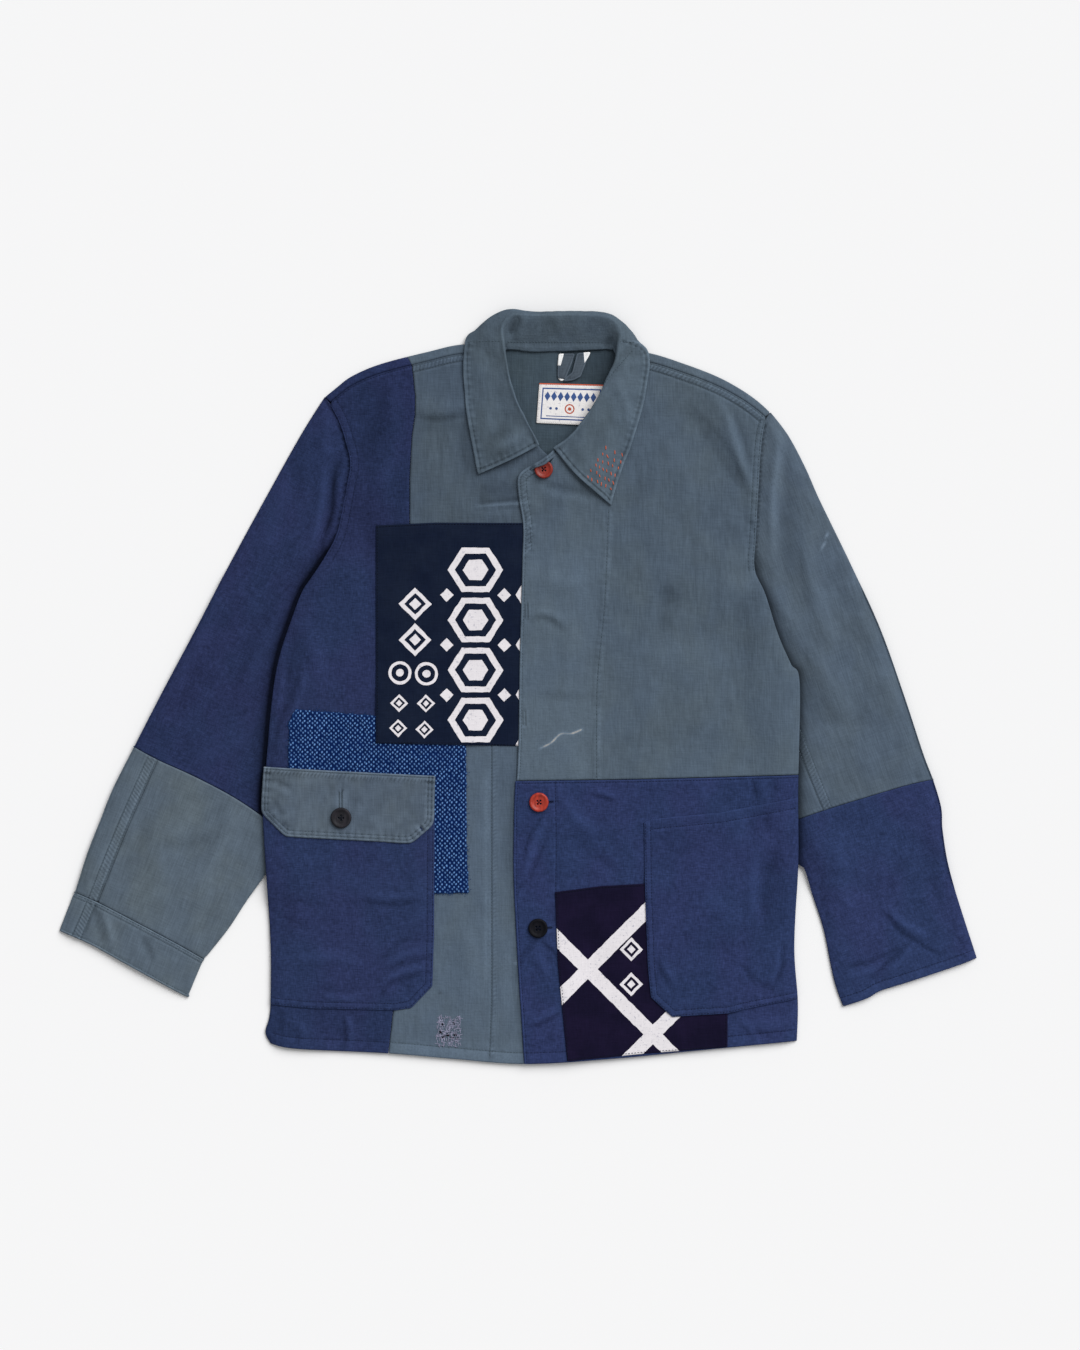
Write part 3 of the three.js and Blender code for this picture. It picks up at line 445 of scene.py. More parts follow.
# ---------------------------------------------------------------- meshes
def fill(outline, step, rows=(), holes=(), inlays=(), ring=1.0):
    """Points and triangles inside an outline. rows are (line, offsets, spacing): extra rows of
    points beside a seam. ring is how far in the first row of points lies, or 0 for none. Returns
    points, triangles and for each triangle the inlay it is in."""
    outline = even(closed(outline), 0.8 * step)[:-1]
    loops = [outline, *holes, *inlays]
    fixed = np.vstack(loops)
    if ring:
        inset = np.vstack([shifted(outline, ring), shifted(outline, -ring)])
        d, _, _ = nearest(closed(outline), inset[:, 0], inset[:, 1], 5)
        inset = inset[inside(outline, inset[:, 0], inset[:, 1]) & (d > 0.85 * ring)]
    else:
        inset = np.zeros((0, 2))
    extra = [even(shifted(line, o), spacing) for line, offsets, spacing in rows for o in offsets]
    extra = np.vstack([inset, *extra])
    low, high = outline.min(0), outline.max(0)
    gx, gy = np.meshgrid(np.arange(low[0], high[0], step), np.arange(low[1], high[1], step * 0.866))
    gx = gx + 0.5 * step * (np.arange(gx.shape[0]) % 2)[:, None]
    net = np.column_stack([gx.ravel(), gy.ravel()])
    clear = np.ones(len(net), bool)
    for line, offsets, _ in rows:
        d, _, side = nearest(line, net[:, 0], net[:, 1], 20)
        signed = d * side
        clear &= (signed < min(offsets) - 0.5 * step) | (signed > max(offsets) + 0.5 * step)
    inner = np.vstack([extra, net[clear]])
    inner = inner[inside(outline, inner[:, 0], inner[:, 1])]
    for loop in loops:
        d, _, _ = nearest(closed(loop), inner[:, 0], inner[:, 1], step)
        inner = inner[d > (0.8 * ring if loop is outline and ring else 0.35 * step)]
    edges, start = [], 0
    for loop in loops:
        n = len(loop)
        edges += [(start + i, start + (i + 1) % n) for i in range(n)]
        start += n
    points = np.vstack([fixed, inner])
    verts, _, faces, *_ = delaunay_2d_cdt([Vector(p) for p in points], edges, [], 0, 1e-3, False)
    xy = np.array(verts, float)
    tris = np.array([f[:] for f in faces], int)
    mid = xy[tris].mean(1)
    keep = inside(outline, mid[:, 0], mid[:, 1])
    for hole in holes:
        keep &= ~inside(hole, mid[:, 0], mid[:, 1])
    tris, mid = tris[keep], mid[keep]
    a, b, c = xy[tris[:, 0]], xy[tris[:, 1]], xy[tris[:, 2]]
    area = (b[:, 0] - a[:, 0]) * (c[:, 1] - a[:, 1]) - (b[:, 1] - a[:, 1]) * (c[:, 0] - a[:, 0])
    sound = np.abs(area) > 1e-4
    tris, mid, area = tris[sound], mid[sound], area[sound]
    tris[area < 0] = tris[area < 0][:, ::-1]
    which = np.zeros(len(tris), int)
    for k, loop in enumerate(inlays, 1):
        which[inside(loop, mid[:, 0], mid[:, 1])] = k
    used, tris = np.unique(tris, return_inverse=True)
    return xy[used], tris.reshape(-1, 3), which


def border(tris):
    """The edges that only one triangle has, in that triangle's direction."""
    e = np.vstack([tris[:, [0, 1]], tris[:, [1, 2]], tris[:, [2, 0]]])
    key = np.sort(e, axis=1)
    _, first, count = np.unique(key, axis=0, return_index=True, return_counts=True)
    return e[first[count == 1]]


def mesh_object(name, points, faces, materials, which=None, attributes=None):
    mesh = bpy.data.meshes.new(name)
    mesh.from_pydata((np.asarray(points) * MM).tolist(), [], faces)
    for material in materials:
        mesh.materials.append(material)
    if which is not None:
        mesh.polygons.foreach_set("material_index", np.asarray(which, np.int32))
    mesh.polygons.foreach_set("use_smooth", np.ones(len(mesh.polygons), bool))
    for key, values in (attributes or {}).items():
        data = mesh.attributes.new(key, "FLOAT", "POINT")
        data.data.foreach_set("value", np.asarray(values, np.float32))
    mesh.update()
    obj = bpy.data.objects.new(name, mesh)
    bpy.context.scene.collection.objects.link(obj)
    return obj


def thicken(xy, tris, top, bottom):
    """The closed wall between two heights over one net of triangles."""
    n = len(xy)
    rim = border(tris)
    points = np.vstack([np.column_stack([xy, top]), np.column_stack([xy, bottom])])
    faces = tris.tolist() + (tris[:, ::-1] + n).tolist()
    faces += np.column_stack([rim[:, 1], rim[:, 0], rim[:, 0] + n, rim[:, 1] + n]).tolist()
    return points, faces, rim


# ---------------------------------------------------------------- seams
class Seam:
    """A line of sewing and what it does to the cloth beside it, on the side inner (+ left).

    rows: how far in its rows of stitches lie. ladder: (from, to) of a band puckered crosswise, with
    a rung every pitch. free: a turned edge that ends in the air. valley: it dips to meet its
    neighbour, with painted shade in the dip. wear: how strongly its rubbed paleness and its
    painted shade show. pucker: how far it waves. threads: its stitches show."""

    def __init__(self, line, inner=1, rows=(), ladder=None, free=False, valley=False, wear=1.0,
                 pucker=0.0, threads=True, seed=0.0, pitch=4.4):
        self.line, self.inner, self.rows = np.asarray(line, float), inner, rows
        self.ladder, self.pitch, self.free, self.valley = ladder, pitch, free, valley
        self.wear, self.pucker, self.threads, self.seed = wear, pucker, threads, seed

    def stitch_rows(self):
        return [shifted(self.line, self.inner * a) for a in self.rows] if self.threads else []

    def net_rows(self):
        """Rows of extra points, closer together where the cloth puckers."""
        wanted = {a + k for a in self.rows for k in (-1.3, 0, 1.3)}
        if self.ladder:
            a, b = self.ladder
            wanted |= set(np.linspace(a, b, max(3, int((b - a) / 1.4)) + 1))
        if self.free:
            wanted |= {1.8}
        if self.valley:
            wanted |= {1.2, 2.6}
        spacing = 1.3 if self.ladder else 2.4
        return (self.line, sorted(self.inner * a for a in wanted), spacing)

    def relief(self, x, y):
        """Height and paleness that the seam adds at each point. The paleness is rubbing on raised cloth,
        and painted shade where it is below 0: in stitch grooves, between puckers and in valleys.
        """
        d, s, side = nearest(self.line, x, y, 18)
        t = d * side * self.inner
        uneven = 0.6 + 0.4 * noise(s, t, 7, self.seed + 5)
        z, pale = np.zeros(x.shape), np.zeros(x.shape)
        wave = np.sin(2 * np.pi * s / 7.5 + 3 * noise(s, 0 * s, 18, self.seed))
        for at in self.rows:
            beside = bell(t - at - 1.5, 0.9) + bell(t - at + 1.5, 0.9)
            z += 0.18 * beside - 0.5 * bell(t - at, 0.9)
            # paler beside each row from rubbing, painted shade in the row's groove
            pale += 0.30 * beside * uneven - 0.22 * bell(t - at, 0.8)
            z += 2.2 * self.pucker * wave * bell(t - at, 4)
        if self.ladder:
            a, b = self.ladder
            between = ramp(a - 0.8, a + 0.8, t) * ramp(b + 0.8, b - 0.8, t)
            turns = (s + 0.5 * t) / self.pitch + 0.5 * noise(s, 0 * s, 26, self.seed)
            rungs = 0.5 + 0.5 * np.sin(2 * np.pi * turns)
            z += between * (0.12 + 0.7 * rungs * uneven)
            # painted light and shade of the puckers: pale on each rung, dark between
            pale += between * (0.5 * rungs**2 * uneven - 0.4 * (1 - rungs) ** 3)
        if self.free:
            z += 0.30 * bell(t - 1.4, 1.1)
            pale += 0.60 * bell(t, 1.2) * uneven + 0.12 * bell(t - 1.6, 1.2)
        if self.valley:
            z -= 0.55 * bell(t, 1.7)
            # painted shade in the valley
            pale += 0.14 * bell(t - 2.6, 1.3) * uneven - 0.38 * bell(t, 1.1)
        near = d < 17
        return np.where(near, z, 0), self.wear * np.where(near, pale, 0)


class Threads:
    """Stitches of one thread, laid on the cloth under them and joined into one piece."""

    def __init__(self, name, material, slot):
        self.name, self.material, self.slot = name, material, slot
        self.points, self.faces = [], []

    def add(self, a, b, radius=THREAD, arch=ARCH):
        """One stitch from a to b, a thin spindle."""
        a, b = np.asarray(a, float), np.asarray(b, float)
        along = b - a
        length = np.linalg.norm(along)
        if length < 0.2:
            return
        along /= length
        side = np.cross(along, (0, 0, 1))
        side /= max(np.linalg.norm(side), 1e-9)
        up = np.cross(side, along)
        n = len(self.points)
        self.points.append(a)
        for share in (0.2, 0.8):
            middle = a + along * length * share + up * arch
            self.points += [middle + side * radius, middle + up * radius * 0.8,
                            middle - side * radius, middle - up * radius * 0.8]
        self.points.append(b)
        for k in range(4):
            m = (k + 1) % 4
            self.faces += [(n, n + 1 + m, n + 1 + k), (n + 1 + k, n + 1 + m, n + 5 + m, n + 5 + k),
                           (n + 5 + k, n + 5 + m, n + 9)]

    def sew(self, cloth, row, stitch=2.4, gap=0.9, radius=THREAD):
        """Stitches along a line, on a cloth."""
        path = even(row, stitch + gap)
        for a, b in zip(path, path[1:]):
            self.lay(cloth, a, a + (b - a) * stitch / (stitch + gap), radius)

    def lay(self, cloth, a, b, radius=THREAD, arch=ARCH):
        """One stitch on a cloth, left out where the cloth falls away under it."""
        pa, pb = cloth.drop(a), cloth.drop(b)
        if pa is not None and pb is not None and abs(pa[2] - pb[2]) < 1.5:
            self.add(pa, pb, radius, arch)

    def build(self):
        obj = mesh_object(self.name, np.array(self.points), self.faces, [self.material])
        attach(obj, "root")


class Cloth:
    """A finished piece that can be hit from above, to lay things on it."""

    def __init__(self, obj):
        points = [v.co / MM for v in obj.data.vertices]
        self.tree = BVHTree.FromPolygons(points, [p.vertices[:] for p in obj.data.polygons])

    def drop(self, p):
        hit, normal, _, _ = self.tree.ray_cast(Vector((p[0], p[1], RAY_START)), Vector((0, 0, -1)))
        return None if hit is None or normal.z < 0.2 else np.array(hit)


def flat_area(loop):
    x, y = np.asarray(loop).T
    return abs(np.dot(x, np.roll(y, -1)) - np.dot(y, np.roll(x, -1))) / 2


clothes = {}  # the finished pieces by the names of the CAD nodes they stand for


def declare(loops, allowance=ALLOWANCE, size=None):
    loops = [np.asarray(loop, float) for loop in loops]
    largest = max(loops, key=flat_area)
    size = size or largest.max(0) - largest.min(0) + 2 * allowance
    perimeter = sum(np.hypot(*np.diff(closed(p), axis=0).T).sum() for p in loops)
    area = sum(flat_area(p) for p in loops) + 0.35 * perimeter * allowance
    area = min(max(area, 0.31 * size[0] * size[1]), size[0] * size[1])


def adopt(obj, node):
    """Make a piece of cloth stand for a CAD node."""
    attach(obj, "root")
    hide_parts(node)
    clothes[node] = Cloth(obj)


def cloth_piece(name, mesh, materials, loops, allowance=ALLOWANCE, size=None):
    """The piece of cloth that stands for the CAD node of this name, from what panel_mesh gives."""
    points, faces, index, attributes = mesh
    obj = mesh_object(name + "_cloth", points, faces, materials, index, attributes)
    adopt(obj, name)
    declare(loops, allowance, size)


def sharp_rows(outline, creases):
    """Rows of extra points along the sharpest creases inside an outline."""
    lines = [smooth(line, 2.2) for line, width, _ in creases if width < 3]
    return [(path, (-1.5, 0, 1.5), 2.2) for path in lines
            if inside(outline, *path[len(path) // 2][:, None]).all()]


def panel_mesh(outline, base, seams=(), step=FINE, thickness=CLOTH, marks=None, inlays=(),
               groups=(), holes=(), rows=(), wrap=None, hump=None, creases=()):
    """Points, faces, materials' places and attributes of one piece of cloth. base(x, y) is its
    underside. marks gives how pale it is and how dark from stains and painted shadow, hump how far
    it is lifted, and groups which material each inlay has. wrap tells where the edge is a fold down
    to the ply below."""
    nets = [s.net_rows() for s in seams] + list(rows) + sharp_rows(outline, creases)
    xy, tris, which = fill(outline, step, nets, holes, inlays)
    x, y = xy.T
    low = base(x, y)
    # paleness starts as painted crease shading: paler on ridges, darker in troughs
    z, pale, soil_and_shadow = low.copy(), folds(x, y, creases, CREASE_SHADE), np.zeros(len(x))
    for seam in seams:
        dz, dp = seam.relief(x, y)
        z += dz
        pale += dp
    if hump:
        lifted = hump(x, y)
        z, low = z + lifted, low + lifted
    if marks:
        dp, ds = marks(x, y)
        pale += dp
        soil_and_shadow += ds
    d, _, _ = nearest(closed(outline), x, y, 6)
    top = z + thickness * (1 - 0.45 * ramp(1.0, 0.0, d))
    bottom = np.minimum(low + 0.1 * ramp(1.0, 0.0, d), top - 0.35 * thickness)
    bottom = np.maximum(bottom, 0.0)
    if wrap:
        bottom = np.where((d < 0.4) & wrap(x, y), 0.15 + tuck_lift(x, y), bottom)
    points, faces, rim = thicken(xy, tris, top, bottom)
    index = np.concatenate([np.array([0, *groups])[which], 0 * which, np.zeros(len(rim), int)])
    return points, faces, index, {"wear": np.tile(pale, 2), "soil_and_shadow": np.tile(soil_and_shadow, 2)}


def joined(parts):
    """Several such meshes as one."""
    points, faces, index = [], [], []
    attributes = {"wear": [], "soil_and_shadow": []}
    start = 0
    for p, f, i, extra in parts:
        points.append(p)
        faces += [tuple(k + start for k in face) for face in f]
        index.append(i)
        for key in attributes:
            attributes[key].append(extra[key])
        start += len(p)
    return (np.vstack(points), faces, np.concatenate(index),
            {key: np.concatenate(v) for key, v in attributes.items()})


def panel(name, slot, outline, base, materials, seams=(), rests_on=(), thread=None,
          creases=BODY_CREASES, **more):
    """One piece of cloth and its stitches."""
    mesh = panel_mesh(outline, base, seams, creases=creases, **more)
    cloth_piece(name, mesh, materials, [outline])
    if thread:
        sew_seams(thread, name, seams)


def sew_seams(thread, name, seams, **facts):
    for seam in seams:
        for row in seam.stitch_rows():
            thread.sew(clothes[name], row, **facts)


# ---------------------------------------------------------------- materials
class Nodes:
    """Short hand for building a node tree. Lengths in the tree are millimetres."""

    def __init__(self, name, turn=0.0):
        self.material = bpy.data.materials.new(name)
        self.material.use_nodes = True
        self.tree = self.material.node_tree
        self.shader = self.tree.nodes["Principled BSDF"]
        self.place = self.vector("SCALE", self.new("ShaderNodeTexCoord").outputs["Object"], scale=1 / MM)
        if turn:
            rotate = self.new("ShaderNodeVectorRotate", rotation_type="Z_AXIS")
            self.put(rotate.inputs["Vector"], self.place)
            rotate.inputs["Angle"].default_value = math.radians(turn)
            self.place = rotate.outputs[0]

    def new(self, kind, **settings):
        node = self.tree.nodes.new(kind)
        for key, value in settings.items():
            setattr(node, key, value)
        return node

    def put(self, socket, value):
        if isinstance(value, bpy.types.NodeSocket):
            self.tree.links.new(value, socket)
        else:
            socket.default_value = value

    def vector(self, operation, a, b=None, scale=None):
        node = self.new("ShaderNodeVectorMath", operation=operation)
        self.put(node.inputs[0], a)
        if b is not None:
            self.put(node.inputs[1], b)
        if scale is not None:
            self.put(node.inputs["Scale"], scale)
        return node.outputs[0]

    def math(self, operation, a, b=0.0, c=0.0, clamp=False):
        node = self.new("ShaderNodeMath", operation=operation, use_clamp=clamp)
        for socket, value in zip(node.inputs, (a, b, c)):
            self.put(socket, value)
        return node.outputs[0]

    def noise(self, size, stretch=(1, 1, 1), detail=2.0, rough=0.5):
        """Noise from 0 to 1 with features of this size in mm, longer along a stretched axis."""
        scaled = self.vector("DIVIDE", self.place, tuple(size * k for k in stretch))
        node = self.new("ShaderNodeTexNoise")
        self.put(node.inputs["Vector"], scaled)
        self.put(node.inputs["Scale"], 1.0)
        self.put(node.inputs["Detail"], detail)
        self.put(node.inputs["Roughness"], rough)
        return node.outputs[0]

    def sway(self, size):
        """A vector that wanders by half a unit each way over this size."""
        node = self.new("ShaderNodeTexNoise")
        self.put(node.inputs["Vector"], self.vector("DIVIDE", self.place, (size, size, size)))
        self.put(node.inputs["Scale"], 1.0)
        self.put(node.inputs["Detail"], 1.0)
        return self.vector("SUBTRACT", node.outputs["Color"], (0.5, 0.5, 0.5))

    def spread(self, value, low, high, to_low=0.0, to_high=1.0):
        node = self.new("ShaderNodeMapRange", interpolation_type="SMOOTHSTEP")
        for key, v in (("Value", value), ("From Min", low), ("From Max", high),
                       ("To Min", to_low), ("To Max", to_high)):
            self.put(node.inputs[key], v)
        return node.outputs["Result"]

    def mix(self, share, a, b):
        node = self.new("ShaderNodeMix", data_type="RGBA")
        self.put(node.inputs[0], share)
        self.put(node.inputs[6], a if isinstance(a, bpy.types.NodeSocket) else (*a, 1))
        self.put(node.inputs[7], b if isinstance(b, bpy.types.NodeSocket) else (*b, 1))
        return node.outputs[2]

    def times(self, colour, *factors):
        """A colour times the product of some numbers."""
        product = factors[0]
        for factor in factors[1:]:
            product = self.math("MULTIPLY", product, factor)
        return self.vector("SCALE", colour, scale=product)

    def attribute(self, name):
        return self.new("ShaderNodeAttribute", attribute_name=name).outputs["Fac"]

    def finish(self, colour, height, depth=0.15, roughness=0.95, specular=0.04):
        self.put(self.shader.inputs["Base Color"], colour)
        self.put(self.shader.inputs["Roughness"], roughness)
        self.shader.inputs["Specular IOR Level"].default_value = specular
        bump = self.new("ShaderNodeBump")
        bump.inputs["Strength"].default_value = 0.8
        bump.inputs["Distance"].default_value = depth * MM
        self.put(bump.inputs["Height"], height)
        self.put(self.shader.inputs["Normal"], bump.outputs["Normal"])
        return self.material


def linear(r, g, b):
    """A colour as it shows on a screen, 0 to 255, as light."""
    return tuple(((v / 255 + 0.055) / 1.055) ** 2.4 if v > 10 else v / 255 / 12.92 for v in (r, g, b))


def brighter(colour, factor):
    return tuple(min(1.0, c * factor) for c in colour)


def tinted(colour, factors):
    return tuple(c * k for c, k in zip(colour, factors))


def sateen(name, shown, yellow, turn=0.0):
    """Sun-faded green sateen: fine upright streaks, blotchy fading, pale where it is rubbed, with painted
    highlight and shade from the wear attribute.
    """
    n = Nodes(name, turn)
    base = linear(*shown)
    warm = tinted(base, (1.07, 1.03, 0.93))
    cool = tinted(base, (0.95, 0.98, 1.05))
    blotch = n.noise(55, (1, 1.3, 1), 3.0, 0.55)
    colour = n.mix(n.spread(blotch, 0.35, 0.68), cool, warm)
    colour = n.mix(yellow, base, colour)
    warp = n.noise(1.15, (1, 16, 1), 1.0)
    weft = n.noise(1.5, (9, 1, 1), 1.0)
    slub = n.noise(5, (1, 7, 1), 2.0)
    fade = n.noise(17, (1, 1.4, 1), 3.0, 0.6)
    tones = ((warp, 0.46, 0.77), (weft, 0.26, 0.87), (slub, 0.26, 0.87), (fade, 0.36, 0.82))
    colour = n.times(colour, *[n.math("MULTIPLY_ADD", *tone) for tone in tones])
    return cloth_finish(n, colour, brighter(base, 1.75), warp, weft, rumple=8.0)


def twill(name, shown, turn=0.0):
    """Dense blue cotton twill: fine slubs both ways, darker in patches, pale lines on creases that are
    partly rubbing and partly painted highlight.
    """
    n = Nodes(name, turn)
    base = linear(*shown)
    violet = tinted(base, (1.12, 0.97, 1.03))
    colour = n.mix(n.spread(n.noise(70, (1, 1.4, 1), 3.0), 0.38, 0.64), base, violet)
    warp = n.noise(1.2, (1, 5, 1), 1.0)
    weft = n.noise(1.2, (5, 1, 1), 1.0)
    slub = n.noise(2.4, (2.2, 1, 1), 3.0, 0.7)
    fade = n.noise(14, (1, 1.2, 1), 3.0, 0.6)
    tones = ((warp, 0.76, 0.62), (weft, 0.76, 0.62), (slub, 0.6, 0.70), (fade, 0.40, 0.80))
    colour = n.times(colour, *[n.math("MULTIPLY_ADD", *tone) for tone in tones])
    return cloth_finish(n, colour, brighter(base, 1.9), warp, weft, rumple=9.0)


def cloth_finish(n, colour, pale, warp, weft, depth=0.22, rumple=0.0):
    """Rub the raised parts pale and paint highlights where wear is above 0, paint shade where it is below
    0, darken real stains and painted shadow, and raise the weave.
    """
    wear = n.attribute("wear")
    rough = n.noise(2.2, (1, 1, 1), 3.0, 0.7)
    # paleness above 0: rubbing on edges and seams, and painted highlight on ridges and puckers
    rubbed = n.math("MULTIPLY", wear, n.spread(rough, 0.25, 0.75, 0.55, 1.35), clamp=True)
    colour = n.mix(rubbed, colour, pale)
    scraped = n.math("SUBTRACT", wear, 1.0, clamp=True)
    scraped = n.math("MULTIPLY", scraped, n.spread(rough, 0.3, 0.7, 0.5, 1.0))
    colour = n.mix(scraped, colour, linear(167, 165, 160))
    # paleness below 0 is painted shade in grooves, troughs and beside overlapping edges
    shaded = n.math("MULTIPLY", wear, -1.0, clamp=True)
    colour = n.mix(shaded, colour, n.times(colour, 0.25))
    # darkens both real stains and painted shadow
    soiled_and_shadowed = n.math("MAXIMUM", n.attribute("soil_and_shadow"), 0.0, clamp=True)
    colour = n.mix(soiled_and_shadowed, colour, n.times(colour, 0.12))
    height = n.math("ADD", n.math("ADD", warp, weft), n.math("MULTIPLY", rough, 0.8))
    if rumple:
        rumpled = n.noise(15, (1, 1.5, 1), 4.0, 0.55)
        height = n.math("MULTIPLY_ADD", rumpled, rumple, height)
    return n.finish(colour, height, depth)


def plain_weave(name, shown, second=None, contrast=0.35, size=1.2):
    """Plain woven cotton of one colour with thicker and thinner threads."""
    n = Nodes(name)
    base = linear(*shown)
    other = linear(*second) if second else brighter(base, 1.25)
    colour = n.mix(n.spread(n.noise(28, (1, 1, 1), 3.0), 0.35, 0.7), base, other)
    warp = n.noise(size, (1, 10, 1), 1.0)
    weft = n.noise(size, (10, 1, 1), 1.0)
    tone = n.math("MULTIPLY_ADD", n.math("ADD", warp, weft), contrast, 1 - contrast)
    return cloth_finish(n, n.times(colour, tone), brighter(base, 2.0), warp, weft)


def print_white(name, shown=(226, 222, 226)):
    """Discharged white of a print: slightly uneven, the weave shows through."""
    n = Nodes(name)
    base = linear(*shown)
    warp = n.noise(1.2, (1, 8, 1), 1.0)
    weft = n.noise(1.2, (8, 1, 1), 1.0)
    flecks = n.spread(n.noise(3.0, (1, 1, 1), 4.0, 0.8), 0.57, 0.66)
    colour = n.mix(n.math("MULTIPLY", flecks, 0.6), base, linear(120, 124, 150))
    tone = n.math("MULTIPLY_ADD", n.math("ADD", warp, weft), 0.12, 0.88)
    return n.finish(n.times(colour, tone), n.math("ADD", warp, weft), 0.15)


def kasuri(name):
    """Speckled ikat: small pale dots in rows, every other row half a step along."""
    n = Nodes(name)
    place = n.vector("ADD", n.place, n.vector("SCALE", n.sway(11.0), scale=2.2))
    dots = [kasuri_dots(n, place, offset) for offset in ((0, 0, 0), (2.5, 2.55, 0))]
    strength = n.math("MAXIMUM", *dots)
    strength = n.math("MULTIPLY", strength, n.spread(n.noise(22, (1, 1, 1), 3.0), 0.25, 0.62, 0.75, 1.05))
    dark = n.mix(n.noise(5.0), linear(4, 18, 56), linear(10, 36, 88))
    colour = n.mix(strength, dark, linear(106, 150, 205))
    warp = n.noise(1.0, (1, 5, 1), 1.0)
    return cloth_finish(n, colour, linear(32, 64, 116), warp, strength, 0.35)


def kasuri_dots(n, place, offset):
    """How pale the dots of every other row are, from 0 to 1."""
    at = n.vector("DIVIDE", n.vector("ADD", place, offset), (5.0, 5.1, 1000))
    cell = n.vector("FLOOR", at)
    chance = n.new("ShaderNodeTexWhiteNoise", noise_dimensions="3D")
    n.put(chance.inputs["Vector"], n.vector("ADD", cell, offset))
    local = n.vector("SUBTRACT", n.vector("FRACTION", at), (0.5, 0.5, 0))
    nudge = n.vector("SCALE", n.vector("SUBTRACT", chance.outputs["Color"], (0.5, 0.5, 0.5)), scale=0.20)
    lean = n.new("ShaderNodeVectorRotate", rotation_type="Z_AXIS")
    n.put(lean.inputs["Vector"], n.vector("ADD", local, nudge))
    n.put(lean.inputs["Angle"], n.math("MULTIPLY_ADD", chance.outputs["Value"], 1.0, -0.6))
    local = n.vector("MULTIPLY", lean.outputs[0], (5.8, 4.5, 0))
    away = n.new("ShaderNodeVectorMath", operation="LENGTH")
    n.put(away.inputs[0], local)
    dot = n.spread(away.outputs["Value"], 0.3, 1.42, 1.0, 0.0)
    return n.math("MULTIPLY", dot, n.math("MULTIPLY_ADD", chance.outputs["Value"], 0.5, 0.5))


def thread_look(name, shown):
    n = Nodes(name)
    base = linear(*shown)
    tone = n.math("MULTIPLY_ADD", n.noise(4.0, (1, 1, 1), 2.0), 0.8, 0.6)
    return n.finish(n.times(base, tone), n.noise(0.5), 0.1, 0.8)


def button_look(name, shown, streak, roughness=0.38, shine=0.35):
    """Cast resin or polished wood: faint rings and streaks, a soft shine, scuffed on the rim."""
    n = Nodes(name)
    base, other = linear(*shown), linear(*streak)
    grain = n.noise(2.6, (1, 5, 1), 3.0, 0.6)
    colour = n.mix(n.spread(grain, 0.35, 0.7), base, other)
    scuff = n.noise(0.9, (1, 1, 1), 3.0, 0.7)
    rough = n.math("MULTIPLY_ADD", scuff, 0.3, roughness - 0.1)
    return n.finish(colour, scuff, 0.05, rough, specular=shine)


GREEN_CHEST = sateen("green_sateen_chest", (78, 91, 104), 0.4)
GREEN_RIGHT = sateen("green_sateen_right_front", (76, 89, 103), 0.45)
GREEN_COLLAR = sateen("green_sateen_collar", (78, 91, 103), 0.35)
GREEN_FLAP = sateen("green_sateen_flap", (82, 94, 107), 0.5)
GREEN_CUFF = sateen("green_sateen_cuff", (86, 98, 109), 0.5, 21)
GREEN_SLEEVE = sateen("green_sateen_sleeve", (80, 93, 107), 0.35, -19)
GREEN_INSIDE = sateen("green_sateen_inside", (65, 78, 88), 0.25)
BLUE_DEEP = twill("blue_twill_deep", (37, 48, 79))
BLUE_SIDE = twill("blue_twill_side", (41, 53, 86))
BLUE = twill("blue_twill", (42, 55, 90))
BLUE_SLEEVE = twill("blue_twill_sleeve", (39, 50, 82), 21)
BLUE_CUFF = twill("blue_twill_cuff", (43, 56, 91), -19)
DARK = plain_weave("dark_indigo", (19, 27, 46), (24, 32, 50), 0.36)
PURPLE = plain_weave("purple_indigo", (21, 18, 39), (26, 21, 45), 0.36)
KASURI = kasuri("speckled_kasuri")
WHITE = print_white("print_white")
LABEL = print_white("label_cotton", (232, 229, 228))
LABEL_BLUE = plain_weave("label_blue", (62, 84, 132), None, 0.25, 0.8)
LABEL_RUST = plain_weave("label_rust", (176, 84, 62), None, 0.25, 0.8)
SELVAGE = plain_weave("selvage_white", (222, 222, 222), None, 0.15, 0.8)
LOOP = plain_weave("loop_cotton", (68, 77, 87), (76, 86, 96), 0.4, 0.9)
GREEN_THREAD = thread_look("thread_green", (78, 91, 101))
BLUE_THREAD = thread_look("thread_blue", (36, 44, 72))
DARK_THREAD = thread_look("thread_dark", (20, 24, 38))
RED_THREAD = thread_look("thread_sashiko", (193, 99, 74))
DARN_THREAD = thread_look("thread_darn", (148, 148, 172))
KASURI_THREAD = thread_look("thread_kasuri", (30, 62, 112))
RED_BUTTON = button_look("button_red", (172, 52, 34), (138, 40, 28))
COLLAR_BUTTON = button_look("button_collar_red", (140, 40, 26), (112, 32, 22))
BLACK_BUTTON = button_look("button_black", (12, 13, 19), (20, 20, 27), 0.5, 0.08)
FLAP_BUTTON = button_look("button_horn", (27, 27, 32), (40, 38, 44), 0.5, 0.16)


# ---------------------------------------------------------------- helpers for outlines
def part(path, low, high, axis=1):
    """The stretch of a line between two levels of y, or of x with axis 0, cut there exactly."""
    order = path[np.argsort(path[:, axis])]
    low, high = max(low, order[0, axis]), min(high, order[-1, axis])
    ends = [[np.interp(v, order[:, axis], order[:, k]) for k in (0, 1)] for v in (low, high)]
    keep = path[(path[:, axis] > low + 0.3) & (path[:, axis] < high - 0.3)]
    if path[0, axis] > path[-1, axis]:
        ends.reverse()
    return np.vstack([ends[:1], keep, ends[1:]])


def loop(*parts):
    return np.vstack([np.atleast_2d(np.asarray(p, float)) for p in parts])


